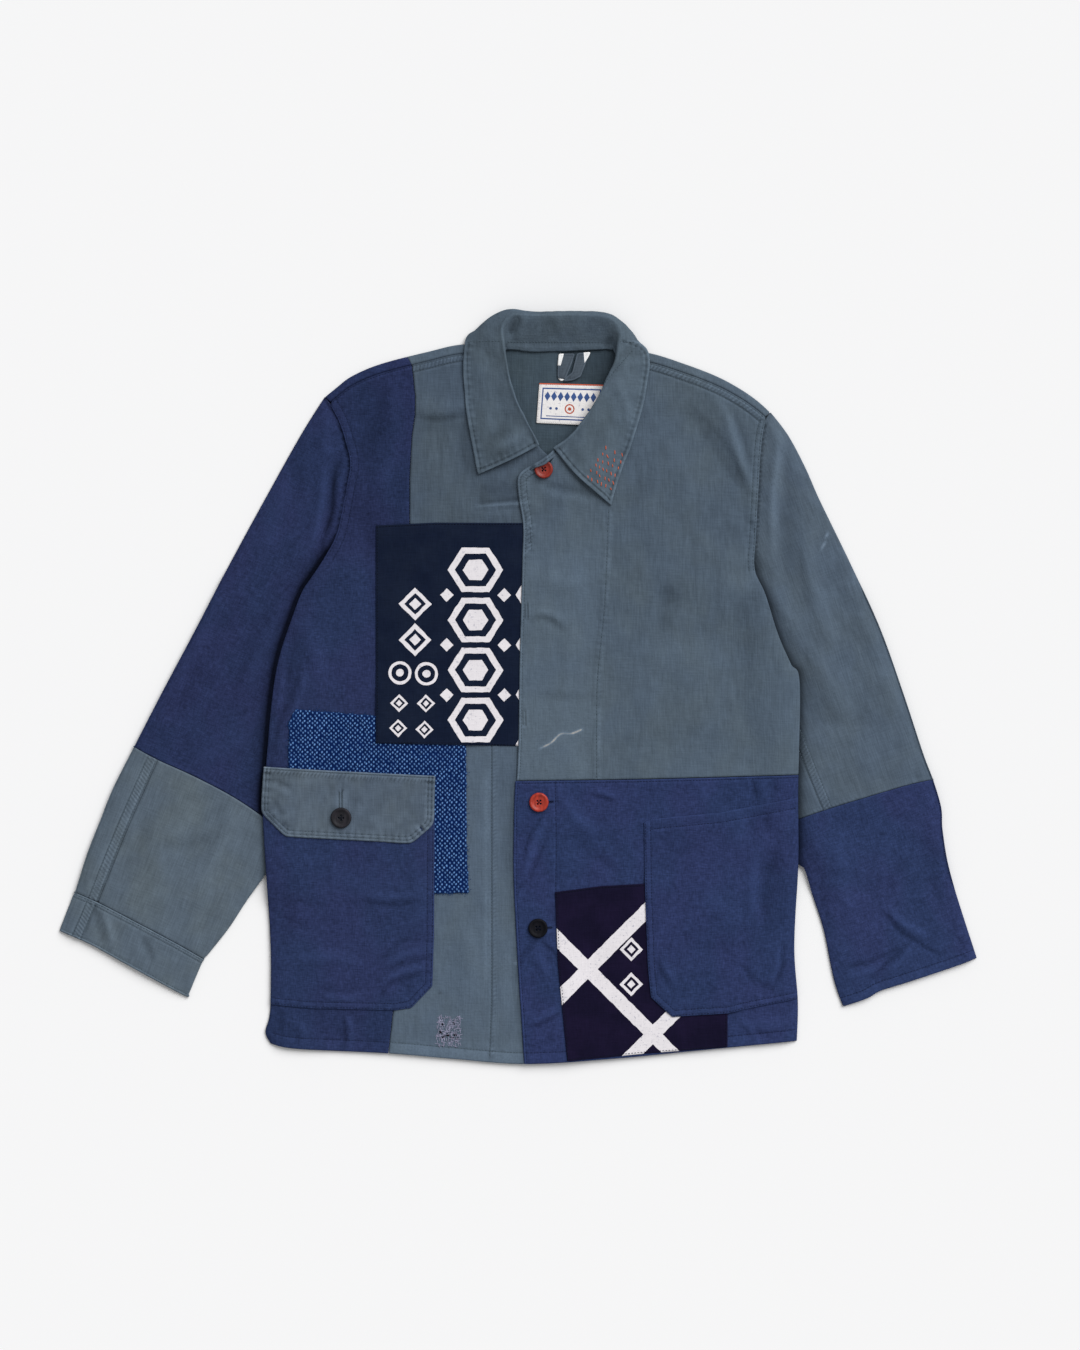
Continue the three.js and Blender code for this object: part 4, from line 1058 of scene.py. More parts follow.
def turns_left(outline):
    x, y = np.asarray(outline).T
    return np.dot(x, np.roll(y, -1)) - np.dot(y, np.roll(x, -1)) > 0


def round_seam(outline, **facts):
    """A seam that runs all round an outline."""
    return Seam(closed(outline), 1 if turns_left(outline) else -1, **facts)


def shrunk(outline, by):
    """An outline moved inwards."""
    around = even(closed(outline), 4.0)
    side = 1 if turns_left(outline) else -1
    inner = shifted(around, side * by)[:-1]
    d, _, _ = nearest(around, inner[:, 0], inner[:, 1], 10)
    return inner[(d > 0.8 * by) & inside(around, inner[:, 0], inner[:, 1])]


class Slit:
    """A buttonhole or a cut: a groove, between two dark lines of close stitches where bound."""

    def __init__(self, a, b, width=0.6, dark=0.8, bound=0.0):
        self.line = even([a, b], 1.0)
        self.width, self.dark, self.bound = width, dark, bound

    def net_rows(self):
        return (self.line, [-3.0, -2.1, -1.4, -0.7, 0, 0.7, 1.4, 2.1, 3.0], 0.9)

    def stitch_rows(self):
        return []

    def relief(self, x, y):
        d, _, _ = nearest(self.line, x, y, 6)
        ring = 0.35 * bell(d - 2.6, 0.7) - self.bound * bell(d - 1.5, 0.6)
        # the groove's darkness, when dark is above 0, is painted shade in the cut
        return -0.45 * bell(d, self.width), ring - self.dark * bell(d, self.width)


def bind(thread, cloth, a, b, reach=1.7, pitch=0.95):
    """The close stitches along both sides of a buttonhole."""
    path = even([a, b], pitch)
    side = (path[-1] - path[0])[::-1] * (-1, 1) / np.hypot(*(path[-1] - path[0]))
    for k, p in enumerate(path):
        for s in (-1, 1):
            thread.lay(cloth, p + s * side * 0.5, p + s * side * (reach + 0.25 * math.sin(5 * k)), 0.3)


SHOULDER = TOP - (0, SHOULDER_TURN)
ARMHOLE_RIGHT = part(BODY_RIGHT, 139, 308)
ARMHOLE_LEFT = part(BODY_LEFT, 124, 291)
HIDDEN_EDGE = corners([(OVERLAP_END, 240), (OVERLAP_END, -399)], 4)
green_thread = Threads("stitches_green", GREEN_THREAD, "green_sateen")
blue_thread = Threads("stitches_blue", BLUE_THREAD, "blue_twill")
dark_thread = Threads("stitches_dark", DARK_THREAD, "dark_indigo")

# ---------------------------------------------------------------- back
def hidden_ply(outline, lift=None, creases=BODY_CREASES, marks=None):
    """The ply that lies on the floor, with a shallow trace of the creases above it."""
    def height(x, y):
        trace = np.clip(folds(x, y, creases), 0, UNDER_FOLD)
        return lift(x, y) + trace if lift else trace
    return panel_mesh(shrunk(outline, FLOOR_INSET), height, step=COARSE, marks=marks, creases=creases)


def turned_strip(low, high, foot_low, foot_high):
    """The back's edge that comes forward over the shoulder, between two values of x."""
    top, foot = part(TOP, low, high, 0), part(SHOULDER, foot_low, foot_high, 0)
    outline = loop(top, foot[::-1])
    seam = Seam(foot, 1, valley=True)
    return panel_mesh(outline, front_height, [seam], step=2.4,
                      wrap=lambda x, y: np.abs(y - y_at(TOP, x)) < 1.5)


def recoloured(mesh, place):
    """The same mesh with its materials moved on by some places."""
    points, faces, index, attributes = mesh
    return points, faces, index + place, attributes


# Painted shade on the inside of the back near the label, under the collar's left leaf.
def label_shade(x, y):
    return 0 * x, 0.35 * bell(np.hypot((x - 85) / 34, (y - 330) / 60), 1.0)


def back():
    side_down = part(SIDE_SEAM, -388, 350)
    top = part(TOP, -117.6, 267.5, 0)
    top[:, 1] += 7 * ramp(-18, -11, top[:, 0]) * ramp(105, 98, top[:, 0])
    main = loop(side_down, part(HEM, -137.3, 296, 0), BODY_LEFT[1:], top[::-1])
    strips = [recoloured(turned_strip(-117.7, -19, -112.6, -19), 1),
              recoloured(turned_strip(106, 267.2, 106, 262), 1)]
    mesh = joined([hidden_ply(main, tuck_lift, marks=label_shade), *strips])
    cloth_piece("back_panel", mesh, [GREEN_INSIDE, GREEN_CHEST], [main])
    side = loop(part(BODY_RIGHT, -380, 307), part(TOP, -204, -118, 0), side_down - (0.3, 0),
                part(HEM, -262, -138, 0)[::-1])
    mesh = joined([hidden_ply(side, tuck_lift), turned_strip(-204.4, -117.6, -198.8, -112.5)])
    cloth_piece("back_side_panel", mesh, [BLUE_DEEP], [side])


# ---------------------------------------------------------------- right front
RIGHT_HEM = part(HEM, -262, -137.4, 0)
MIDDLE_HEM = part(HEM, -137.4, OVERLAP_END, 0)
FACING = smooth([(-28, -58), (-28, -200), (-28, -323), (-30.3, -392)], 4)


def on_fold(edge):
    """Where an outline's points lie on the fold at the side of the body."""
    return lambda x, y: (np.abs(x - x_at(edge, y)) < 1.2) & (y < 128) & (y > -378)


def right_side_front():
    outline = loop(part(BODY_RIGHT, -378, 297), part(SHOULDER, -197.5, -112.7, 0),
                   part(SIDE_SEAM, -388, 340) - (0.15, 0), RIGHT_HEM[::-1])
    seams = [
        Seam(ARMHOLE_RIGHT, -1, rows=(2.0, 9.0), free=True, wear=0.55, pucker=0.10),
        Seam(part(SHOULDER, -197, -113, 0), -1, rows=(1.8,), valley=True, wear=0.8),
        Seam(SIDE_SEAM, -1, valley=True, free=True, wear=0.35),
        Seam(RIGHT_HEM, 1, rows=(12.0,), free=True, wear=0.7, pucker=0.12),
    ]
    # The marks darken the blue a little all over and more towards the shoulder, where the shoulder's
    # darkening is painted shade.
    panel("right_side_front", "blue_twill", outline, front_height, [BLUE_SIDE], seams,
          ["back_side_panel_cloth"], blue_thread, wrap=on_fold(BODY_RIGHT),
          marks=lambda x, y: (-0.12 - 0.14 * ramp(60, 190, y), 0 * x))


def right_front_marks(x, y):
    speck = 1.2 * bell(np.hypot(x + 81.5, y + 324), 1.3)
    darn = ramp(16, 12, np.abs(x + 73.5)) * ramp(18.5, 14, np.abs(y + 365))
    holes = darn * ramp(0.15, 0.5, noise(x, y, 5.2, 11) + 0.25)
    ridge = bell(x + 33.5, 2.6) * ramp(-80, -100, y) * ramp(-330, -300, y)
    pale = 0.45 * ridge * (0.7 + 0.5 * noise(x, y, 14, 4)) + 0.10 * darn
    pale += 0.22 * ramp(120, -60, y) - 0.12 * ramp(60, 160, y) + 0.16 * ramp(-372, -382, y)
    pale += 0.9 * bell(np.hypot(x + 2.4, y + 293), 1.5)
    # painted shadow on the right front beside the left front's lower edge
    x_edge = x_at(LEFT_LOWER_EDGE, y)
    pale -= 0.35 * ramp(9, 0, x_edge - x) * ramp(-60, -100, y)
    # the speck is a stain; the dark over the darn's holes is painted shade
    return pale, 0.75 * speck + 0.05 * darn + 0.4 * holes * ramp(-361, -365, y) * ramp(-376, -372, y)


def right_front():
    outline = loop(part(SHOULDER, -112.2, -17, 0), part(RIGHT_NECK, 240, 349), HIDDEN_EDGE,
                   MIDDLE_HEM[::-1], (part(SIDE_SEAM, -388, 340) + (0.15, 0))[::-1])
    seams = [
        Seam(part(SHOULDER, -112, -18, 0), -1, rows=(1.6, 8.0), ladder=(2.2, 7.4), valley=True),
        Seam(SIDE_SEAM, 1, valley=True, wear=0.8),
        Seam(FACING, 1, rows=(0.0,), ladder=(0.8, 4.6), wear=0.55, seed=3),
        Seam(MIDDLE_HEM, 1, rows=(12.0,), free=True, pucker=0.12, wear=0.9),
    ]
    panel("right_front", "green_sateen", outline, front_height, [GREEN_RIGHT], seams,
          ["back_panel_cloth"], green_thread, marks=right_front_marks)


SPECKLED = loop((-234.7, -23.6), (-152.6, -30.5), (-55.1, -37.1), (-54.5, -160), (-52, -218.4),
                (-87, -218.9), (-242.7, -215.2), (-242.7, -37))
DARK_EDGE = loop((-150.5, 171.2), (-88, 174.2), (32, 173.6), (31, -63), (-60, -61.5), (-110, -60.5),
                 (-150.5, -59.5))


def ragged(outline, amount=0.7, size=4.0, seed=0.0):
    """An outline whose edge wanders a little."""
    path = even(closed(outline), 1.8)[:-1]
    x, y = path.T
    return path + amount * np.column_stack([noise(x, y, size, seed), noise(x, y, size, seed + 7)])


def fray(thread, cloth_name, outline, count, length, rng):
    """Loose threads that stick out of a cut edge."""
    around = even(closed(outline), 1.0)
    outward = -1 if turns_left(outline) else 1
    normal = shifted(around, outward) - around
    for _ in range(count):
        k = rng.randrange(len(around))
        hit = clothes[cloth_name].drop(around[k] - 0.8 * normal[k])
        if hit is None:
            continue
        lean = [rng.uniform(-0.9, 0.9) for _ in range(2)]
        turn = normal[k] + lean
        reach = rng.uniform(0.4, 1.0) * length
        a = hit + (0, 0, -0.1)
        b = a + (*turn * reach * 0.55, -0.35)
        aside = rng.uniform(-0.4, 0.4)
        c = b + (turn[0] * reach * 0.4 + aside, turn[1] * reach * 0.4, -0.45)
        thread.add(a, b, 0.2, 0.05)
        thread.add(b, c, 0.16, 0.0)


def patch_speckled():
    outline = ragged(SPECKLED, 0.8, 3.5, 2)
    height = lambda x, y: front_height(x, y) + PLY + 0.22 * noise(x, y, 5, 9)
    seams = [round_seam(SPECKLED, free=True, wear=0.35)]
    panel("patch_speckled", "speckled_kasuri", outline, height, [KASURI], seams,
          ["right_front_cloth", "right_side_front_cloth"])
    frayed = Threads("patch_speckled_fray", KASURI_THREAD, "speckled_kasuri")
    fray(frayed, "patch_speckled", SPECKLED, 420, 3.4, random.Random(5))
    frayed.build()


# ---------------------------------------------------------------- prints
def polygon(x, y, radius, sides, turn=0.0, squash=1.0):
    at = np.linspace(0, 2 * np.pi, sides, endpoint=False) + turn
    points = np.column_stack([x + radius * np.cos(at), y + squash * radius * np.sin(at)])
    return corners([*points, points[0]], 2.4)[:-1]


def circle(x, y, radius):
    at = np.linspace(0, 2 * np.pi, max(12, int(radius * 2.2)), endpoint=False)
    return np.column_stack([x + radius * np.cos(at), y + radius * np.sin(at)])


def inked(shape, seed):
    """A printed edge, a little uneven."""
    x, y = shape.T
    return shape + 0.38 * np.column_stack([noise(x, y, 4.2, seed), noise(x, y, 4.2, seed + 3)])


def tortoise(x, y, size):
    """A six-sided ring round a smaller solid one."""
    return [(polygon(x, y, size, 6, 0, 0.92), 1), (polygon(x, y, 0.74 * size, 6, 0, 0.92), 0),
            (polygon(x, y, 0.46 * size, 6, 0, 0.92), 1)]


def lozenge(x, y, size, ring=True):
    """A square stood on its corner, with a smaller one inside it."""
    shapes = [(polygon(x, y, size, 4), 1)]
    if ring:
        shapes += [(polygon(x, y, 0.66 * size, 4), 0), (polygon(x, y, 0.36 * size, 4), 1)]
    return shapes


def printed(shapes):
    """What panel_mesh is told of a print: the outlines, and which material each one holds."""
    return {"inlays": [shape for shape, _ in shapes], "groups": [place for _, place in shapes]}


def dark_print():
    """A column of big six-sided rings, and smaller figures beside it."""
    shapes = []
    for k in range(4):
        shapes += tortoise(-45, 124 - 53 * k, 29.5)
        if k < 3:
            shapes += lozenge(-14.5, 97.5 - 53 * k, 7.2, False)
            shapes += lozenge(-75.5, 97.5 - 53 * k, 7.2, False)
        shapes += tortoise(26, 97.5 - 53 * k, 28.5)
    shapes += lozenge(-109, 88, 17.5) + lozenge(-109, 50, 17.5)
    for x, y in ((-125, 15), (-97, 14)):
        shapes += [(circle(x, y, 12.3), 1), (circle(x, y, 9.2), 0), (circle(x, y, 4.2), 1)]
    for x, y in ((-126, -17), (-97.5, -17.5), (-127, -43.5), (-99, -45)):
        shapes += lozenge(x, y, 9.5)
    return [(inked(shape, k), group) for k, (shape, group) in enumerate(shapes)]


def patch_dark():
    height = lambda x, y: front_height(x, y) + PLY * (1 + on_speckled(x, y))
    seams = [round_seam(DARK_EDGE, rows=(1.8,), free=True, wear=0.35, pucker=0.05)]
    panel("patch_dark", "dark_indigo", DARK_EDGE, height, [DARK, WHITE], seams,
          ["right_front_cloth", "right_side_front_cloth", "patch_speckled_cloth"], dark_thread,
          **printed(dark_print()))


# ---------------------------------------------------------------- right pocket
POCKET_SIDE = loop((-89, -97), (-88.3, -153.5), (-89, -264), (-90.8, -317), (-113, -340),
                   (-130.4, -342.7), (-220.5, -340.6), (-262.2, -336.5))
POCKET_CREASES = [
    ([(-90, -283), (-104, -290), (-126, -294), (-141, -306)], 2.3, -0.6),
    ([(-92, -276), (-120, -284), (-142, -296)], 4.5, 0.9),
    ([(-94, -302), (-120, -310), (-138, -316), (-152, -338)], 2.3, -0.6),
    ([(-96, -296), (-122, -302), (-146, -314)], 4, 0.8),
    ([(-92, -272), (-110, -268), (-128, -272), (-149, -292), (-175, -304)], 2.6, -0.5),
    ([(-104, -226), (-122, -231), (-140, -232), (-168, -226)], 2.6, -0.4),
    ([(-100, -219), (-138, -224), (-168, -218)], 5, 0.6),
    ([(-240, -292), (-200, -286), (-160, -296)], 7, 0.9),
    ([(-262, -238), (-246, -243), (-228, -255)], 2.6, -0.5),
    ([(-258, -186), (-248, -192), (-236, -190)], 2.6, -0.4),
    ([(-250, -180), (-243, -230), (-250, -280)], 8, -0.8),
    ([(-112, -180), (-105, -230), (-110, -262)], 7, 0.7),
    ([(-210, -190), (-170, -215), (-130, -215)], 13, 0.6),
    ([(-220, -318), (-184, -323), (-160, -318)], 2.6, -0.4),
    ([(-214, -326), (-180, -331), (-160, -326)], 4, 0.6),
]


def right_pocket():
    def height(x, y):
        loose = folds(x, y, POCKET_CREASES) + 0.15 * noise(x, y, 18, 14) + 0.1 * noise(x, y, 8, 15)
        return front_height(x, y) + PLY * (1 + ramp(-234, -220, y)) + np.maximum(loose, -0.9)
    outline = loop(POCKET_SIDE, part(BODY_RIGHT, -336, -97))
    seams = [
        Seam(corners(POCKET_SIDE), -1, rows=(1.6, 7.2), free=True, wear=0.5, pucker=0.10),
        Seam(corners([(-89, -97), (-267, -97)]), 1, rows=(14.0,), free=True, threads=False),
    ]
    panel("right_pocket", "blue_twill", outline, height, [BLUE_SIDE], seams,
          ["right_side_front_cloth", "right_front_cloth", "patch_speckled_cloth"], blue_thread,
          POCKET_CREASES)


FLAP_TOP = loop((-269, -84.3), (-200, -88.5), (-87.5, -94.2))
FLAP_SIDES = smooth([
    (-87.5, -94.2), (-88.4, -120), (-88.8, -139), (-92, -147.5), (-103, -157.5), (-110.5, -163.5),
    (-119, -165.4), (-150, -163.6), (-200, -161), (-239, -158.6), (-247.5, -156.4),
    (-258, -146.5), (-268, -136.5), (-271.5, -129), (-270.6, -105), (-269, -84.3)], 2.4)
FLAP_HOLE = ((-187.6, -111.5), (-187.4, -128))
FLAP_CREASES = [
    ([(-266, -96), (-252, -101), (-237, -109)], 2.4, -0.5),
    ([(-266, -104), (-252, -109), (-238, -117)], 3.6, 0.5),
    ([(-262, -118), (-254, -126), (-250, -140)], 2.4, -0.5),
    ([(-254, -140), (-246, -146), (-240, -155)], 2.4, -0.5),
    ([(-258, -148), (-249, -138), (-240, -134)], 3, 0.5),
    ([(-108, -140), (-102, -148), (-104, -158)], 2.4, -0.5),
    ([(-94, -122), (-99, -134), (-98, -146)], 3, 0.4),
    ([(-210, -112), (-196, -126), (-178, -128)], 8, 0.4),
]


def flap_marks(x, y):
    # painted light and shade of crumpled cloth near the two lower corners, and an uneven tone all over
    corner = bell(np.hypot(x + 262, y + 140), 16) + bell(np.hypot(x + 100, y + 150), 14)
    crumple_shade = noise(x, y, 5.5, 21) + 0.6 * noise(x, y, 9, 22)
    return 0.45 * corner * crumple_shade + 0.16 * noise(x, y, 7, 23), 0.0 * x


def right_pocket_flap():
    height = lambda x, y: (front_height(x, y) + 3 * PLY + 0.2 * noise(x, y, 24, 16)
                           + 0.18 * noise(x, y, 9, 17) + folds(x, y, FLAP_CREASES))
    seams = [
        Seam(corners(FLAP_TOP), -1, rows=(2.2,), ladder=(3.4, 7.6), free=True, wear=1.2, seed=8,
             pitch=3.9),
        Seam(FLAP_SIDES, -1, rows=(3.3, 7.0), free=True, pucker=0.30),
        Slit(*FLAP_HOLE, 0.7, -0.3, 0.85),
    ]
    panel("right_pocket_flap", "green_sateen", loop(FLAP_TOP, FLAP_SIDES[1:-1]), height, [GREEN_FLAP],
          seams, ["right_pocket_cloth", "patch_speckled_cloth"], green_thread, creases=FLAP_CREASES,
          thickness=1.3, step=0.85 * FINE, marks=flap_marks)
    bind(green_thread, clothes["right_pocket_flap"], *FLAP_HOLE, 2.4, 1.1)


# ---------------------------------------------------------------- left front
def left_height(x, y):
    return front_height(x, y) + left_front_ply(x, y)


FLY = smooth([(96, 186.6), (92.2, 91.5), (87.5, 42.8), (83.7, -5.8), (83.3, -97)], 4)
FLY_HOLES = [((12, 168), (12.2, 154)), ((9.3, 87.5), (9.6, 73.5)), ((7.0, -26), (7.3, -40))]
COLLAR_HOLE = loop((13.5, 229.2), (18, 231.7), (25.2, 234.1), (29, 235.7), (33, 238.9), (38.5, 243.5),
                   (33.8, 237.3), (29.6, 234.2), (25.5, 232.7), (18.8, 230.3))
SCUFF = smooth([(25.1, -64.1), (35.1, -59), (45.1, -49.8), (56.5, -49.3), (66.5, -45.5)], 2)
SCUFF_ROWS = (SCUFF, [-1.9, -1.2, -0.6, 0, 0.6, 1.2, 1.9], 1.0)
TOP_STRIP = smooth([(8, 226.5), (18, 231.1), (25.4, 233.4), (29.3, 235), (33.4, 238.2), (42, 246)], 2)


# Stains of the left front: place, how much flatter than round, reach and darkness.
STAINS = (
    (161, 97.5, 0.85, 11, 0.32),
    (156, 71, 1, 9, 0.22),
    (120, -70, 0.8, 22, 0.10),
    (60, 10, 1, 30, 0.08),
)


def left_marks(x, y):
    """The scuff, the rubbed fly and edge, and the stain on the chest."""
    d, s, _ = nearest(SCUFF, x, y, 8)
    pale = 2.0 * bell(d, 1.15) * np.clip(0.95 + 0.5 * noise(s, d, 5, 31), 0.5, 1.1)
    d, _, _ = nearest(shifted(FLY, 2.6), x, y, 10)
    pale += 0.45 * bell(d, 1.6) * (0.8 + 0.5 * noise(x, y, 16, 8))
    pale += 0.17 * ramp(84, 78, x - (y - 20) * 0.05) * ramp(200, 120, y) + 0.10 * ramp(80, -40, y)
    top = ramp(150, 175, y) * bell(x - 8, 6)
    pale += 0.25 * top * (0.5 + noise(x, y, 4, 6))
    stain = sum(dark * bell(np.hypot(x - x0, (y - y0) * squash), reach)
                for x0, y0, squash, reach, dark in STAINS)
    return pale, stain * (1 + 0.5 * noise(x, y, 6, 12))


def over_button(x, y):
    """The strip above the top buttonhole lies over the button."""
    d, _, side = nearest(TOP_STRIP, x, y, 30)
    above = ramp(-0.2, 0.2, d * side)
    return 5.2 * above * ramp(13, 18.5, x) * ramp(41, 35, x) * ramp(22, 9, d)


def left_front_upper():
    outline = loop(part(SHOULDER, 104, 262, 0), part(BODY_LEFT, -93.2, 281)[::-1],
                   WAIST_SEAM[::-1] + (0, 0.15), LEFT_EDGE[::-1], LEFT_NECK[::-1])
    seams = [
        Seam(LEFT_EDGE, 1, rows=(3.0,), free=True, wear=1.0, pucker=0.08),
        Seam(part(LEFT_EDGE, 145, 240), 1, rows=(9.4,), ladder=(3.6, 9.0), wear=0.8, pucker=0.1, seed=4),
        Seam(FLY, 1, rows=(0.0,), wear=0.7, pucker=0.2),
        Seam(part(SHOULDER, 104, 262, 0), -1, rows=(1.6, 8.0), ladder=(2.2, 7.4), valley=True, seed=2),
        Seam(ARMHOLE_LEFT, 1, rows=(1.3, 6.2), free=True, wear=0.8, pucker=0.14),
        Seam(WAIST_SEAM, 1, valley=True, wear=0.8),
        *[Slit(a, b, 0.6, -0.1, 0.75) for a, b in FLY_HOLES],
    ]
    panel("left_front_upper", "green_sateen", outline, left_height, [GREEN_CHEST], seams,
          ["right_front_cloth", "patch_dark_cloth", "back_panel_cloth"], green_thread,
          marks=left_marks, rows=[SCUFF_ROWS], holes=[COLLAR_HOLE], hump=over_button,
          wrap=on_fold(BODY_LEFT))


LOWER_FACING = smooth([(39.5, -100), (40.5, -160), (40, -216)], 4)
SIDE_HOLES = [((31.5, -122), (37, -121.6)), ((30.5, -255.4), (35.5, -255))]


def left_front_lower():
    hem = part(HEM, 6.5, 295.7, 0)
    outline = loop(WAIST_SEAM - (0, 0.15), part(BODY_LEFT, -375, -94)[::-1], hem[::-1],
                   LEFT_LOWER_EDGE[::-1])
    seams = [
        Seam(LEFT_LOWER_EDGE, 1, rows=(3.0,), free=True, wear=0.6, pucker=0.1),
        Seam(WAIST_SEAM, -1, rows=(2.4,), free=True, wear=0.5),
        Seam(LOWER_FACING, 1, rows=(0.0,), wear=0.6, pucker=0.1),
        Seam(hem, 1, rows=(12.0,), free=True, wear=0.6, pucker=0.12),
        *[Slit(a, b) for a, b in SIDE_HOLES],
    ]
    panel("left_front_lower", "blue_twill", outline, left_height, [BLUE], seams,
          ["right_front_cloth", "back_panel_cloth"], blue_thread, wrap=on_fold(BODY_LEFT))
    for a, b in SIDE_HOLES:
        bind(dark_thread, clothes["left_front_lower"], a, b, 1.2, 1.0)


LATTICE = loop((39.3, -217.2), (88, -211), (134.4, -208.4), (222, -204), (222, -381.6), (134, -388.5),
               (52.2, -396.4), (50, -373), (42.3, -294.7))
BAR = 14.5  # width of a printed bar
BAR_REACH = 130.0  # half its length: it is cut by the edge of the patch


def bar(middle, way, seed):
    """A long straight bar through a point, in the direction way of length 1."""
    a, b = middle - BAR_REACH * way, middle + BAR_REACH * way
    side = np.array([-way[1], way[0]]) * BAR / 2
    return inked(corners([a + side, b + side, b - side, a - side, a + side], 2.6)[:-1], seed)


def lattice_print():
    up, down = (np.array([1, slope]) / math.sqrt(2) for slope in (1, -1))
    left, foot = np.array([74.0, -299.0]), np.array([143.0, -368.0])
    bars = ((left, down), (left, up), (foot, up))
    shapes = [(bar(middle, way, k), 1) for k, (middle, way) in enumerate(bars)]
    for y in (-278, -315):
        shapes += [(inked(shape, 9), place) for shape, place in lozenge(120, y, 12.5)]
    return shapes


def patch_lattice():
    seams = [round_seam(LATTICE, rows=(1.8,), free=True, wear=0.35, pucker=0.05)]
    panel("patch_lattice", "purple_indigo", LATTICE, lambda x, y: left_height(x, y) + PLY,
          [PURPLE, WHITE], seams, ["left_front_lower_cloth"], dark_thread, **printed(lattice_print()))


LEFT_POCKET_CREASES = [
    ([(288, -157), (270, -189), (264, -222), (267, -251), (258, -272)], 8, -1.5),
    ([(262, -150), (250, -186), (247, -222), (251, -256)], 8, 1.1),
    ([(281, -272), (280.5, -288), (278.5, -302), (269, -322)], 2.3, -0.9),
    ([(275, -272), (273, -298), (263, -318)], 4, 0.9),
    ([(236, -292), (250, -312), (274, -322)], 4, -0.6),
    ([(146, -290), (152, -304), (163, -322)], 2.4, -0.6),
    ([(152, -288), (160, -304), (171, -320)], 4, 0.6),
    ([(196, -210), (206, -228), (228, -240)], 9, 0.6),
    ([(165, -262), (196, -276), (232, -268)], 8, -0.6),
    ([(146, -162), (170, -172), (188, -166)], 7, -0.6),
    ([(228, -126), (236, -150), (232, -180)], 7, 0.7),
    ([(266, -122), (262, -142), (268, -160)], 3, -0.5),
]
LEFT_POCKET_TOP = loop((133.5, -143.5), (140.7, -139.8), (214.5, -132.8), (296.4, -117))
LEFT_POCKET_SIDE = loop((293.6, -331), (242.7, -341), (222, -345.8), (163.2, -349.6), (140.7, -328.6),
                        (137.4, -294.7), (134.6, -220), (133.5, -143.5))


def left_pocket():
    def height(x, y):
        loose = (folds(x, y, LEFT_POCKET_CREASES) + 0.15 * noise(x, y, 18, 24)
                 + 0.1 * noise(x, y, 8, 25))
        over = ramp(240, 226, x) * ramp(-194, -208, y)
        return left_height(x, y) + PLY * (1 + over) + np.maximum(loose, -0.9)
    outline = loop(LEFT_POCKET_TOP, part(BODY_LEFT, -330, -118)[::-1], LEFT_POCKET_SIDE)
    seams = [
        Seam(corners(LEFT_POCKET_TOP), -1, rows=(10.5,), free=True, wear=0.5, pucker=0.1),
        Seam(corners(LEFT_POCKET_SIDE), -1, rows=(1.6, 7.0), free=True, wear=0.5, pucker=0.1),
    ]
    panel("left_pocket", "blue_twill", outline, height, [BLUE], seams,
          ["left_front_lower_cloth", "patch_lattice_cloth"], blue_thread, LEFT_POCKET_CREASES)


# ---------------------------------------------------------------- sleeves
def along_edges(*edges):
    """Where a sleeve's outline lies on its folded edges."""
    def test(x, y):
        return np.minimum.reduce([nearest(edge, x, y, 5)[0] for edge in edges]) < 1.0
    return test


def dip_at(edge):
    """How far a sleeve goes down where it meets the armhole."""
    def dip(x, y):
        d, _, _ = nearest(edge, x, y, 25)
        return -1.3 * bell(np.maximum(d - 1.5, 0), 4.0)
    return dip


def right_sleeve():
    height = sleeve_lid(RIGHT_SLEEVE_OUTER, RIGHT_SLEEVE_INNER, RIGHT_SLEEVE_CREASES, 41)
    facts = dict(creases=RIGHT_SLEEVE_CREASES, wrap=along_edges(RIGHT_SLEEVE_OUTER, RIGHT_SLEEVE_INNER))
    upper = loop(part(RIGHT_SLEEVE_OUTER, -62.9, 307.5), RIGHT_SLEEVE_SEAM,
                 part(RIGHT_SLEEVE_INNER, -151, 140)[::-1], ARMHOLE_RIGHT + (1.4, 0))
    seams = [Seam(RIGHT_SLEEVE_SEAM, 1, free=True, valley=True, wear=0.3)]
    panel("right_sleeve_top", "blue_twill", upper, height, [BLUE_SLEEVE], seams,
          ["right_sleeve_under_cloth"], blue_thread, marks=beside_body(BODY_RIGHT, 165, 1.15),
          hump=dip_at(ARMHOLE_RIGHT), **facts)
    cloth_piece("right_sleeve_under", hidden_ply(upper, creases=RIGHT_SLEEVE_CREASES),
                [BLUE_SLEEVE], [upper])
    right_sleeve_end(height, facts)
    right_cuff(height, facts)


# The felled seam of the lower right sleeve, which goes on over the cuff.
FELL = dict(rows=(1.4, 11.0), ladder=(2.0, 10.4), valley=True, seed=6, pitch=4.0)


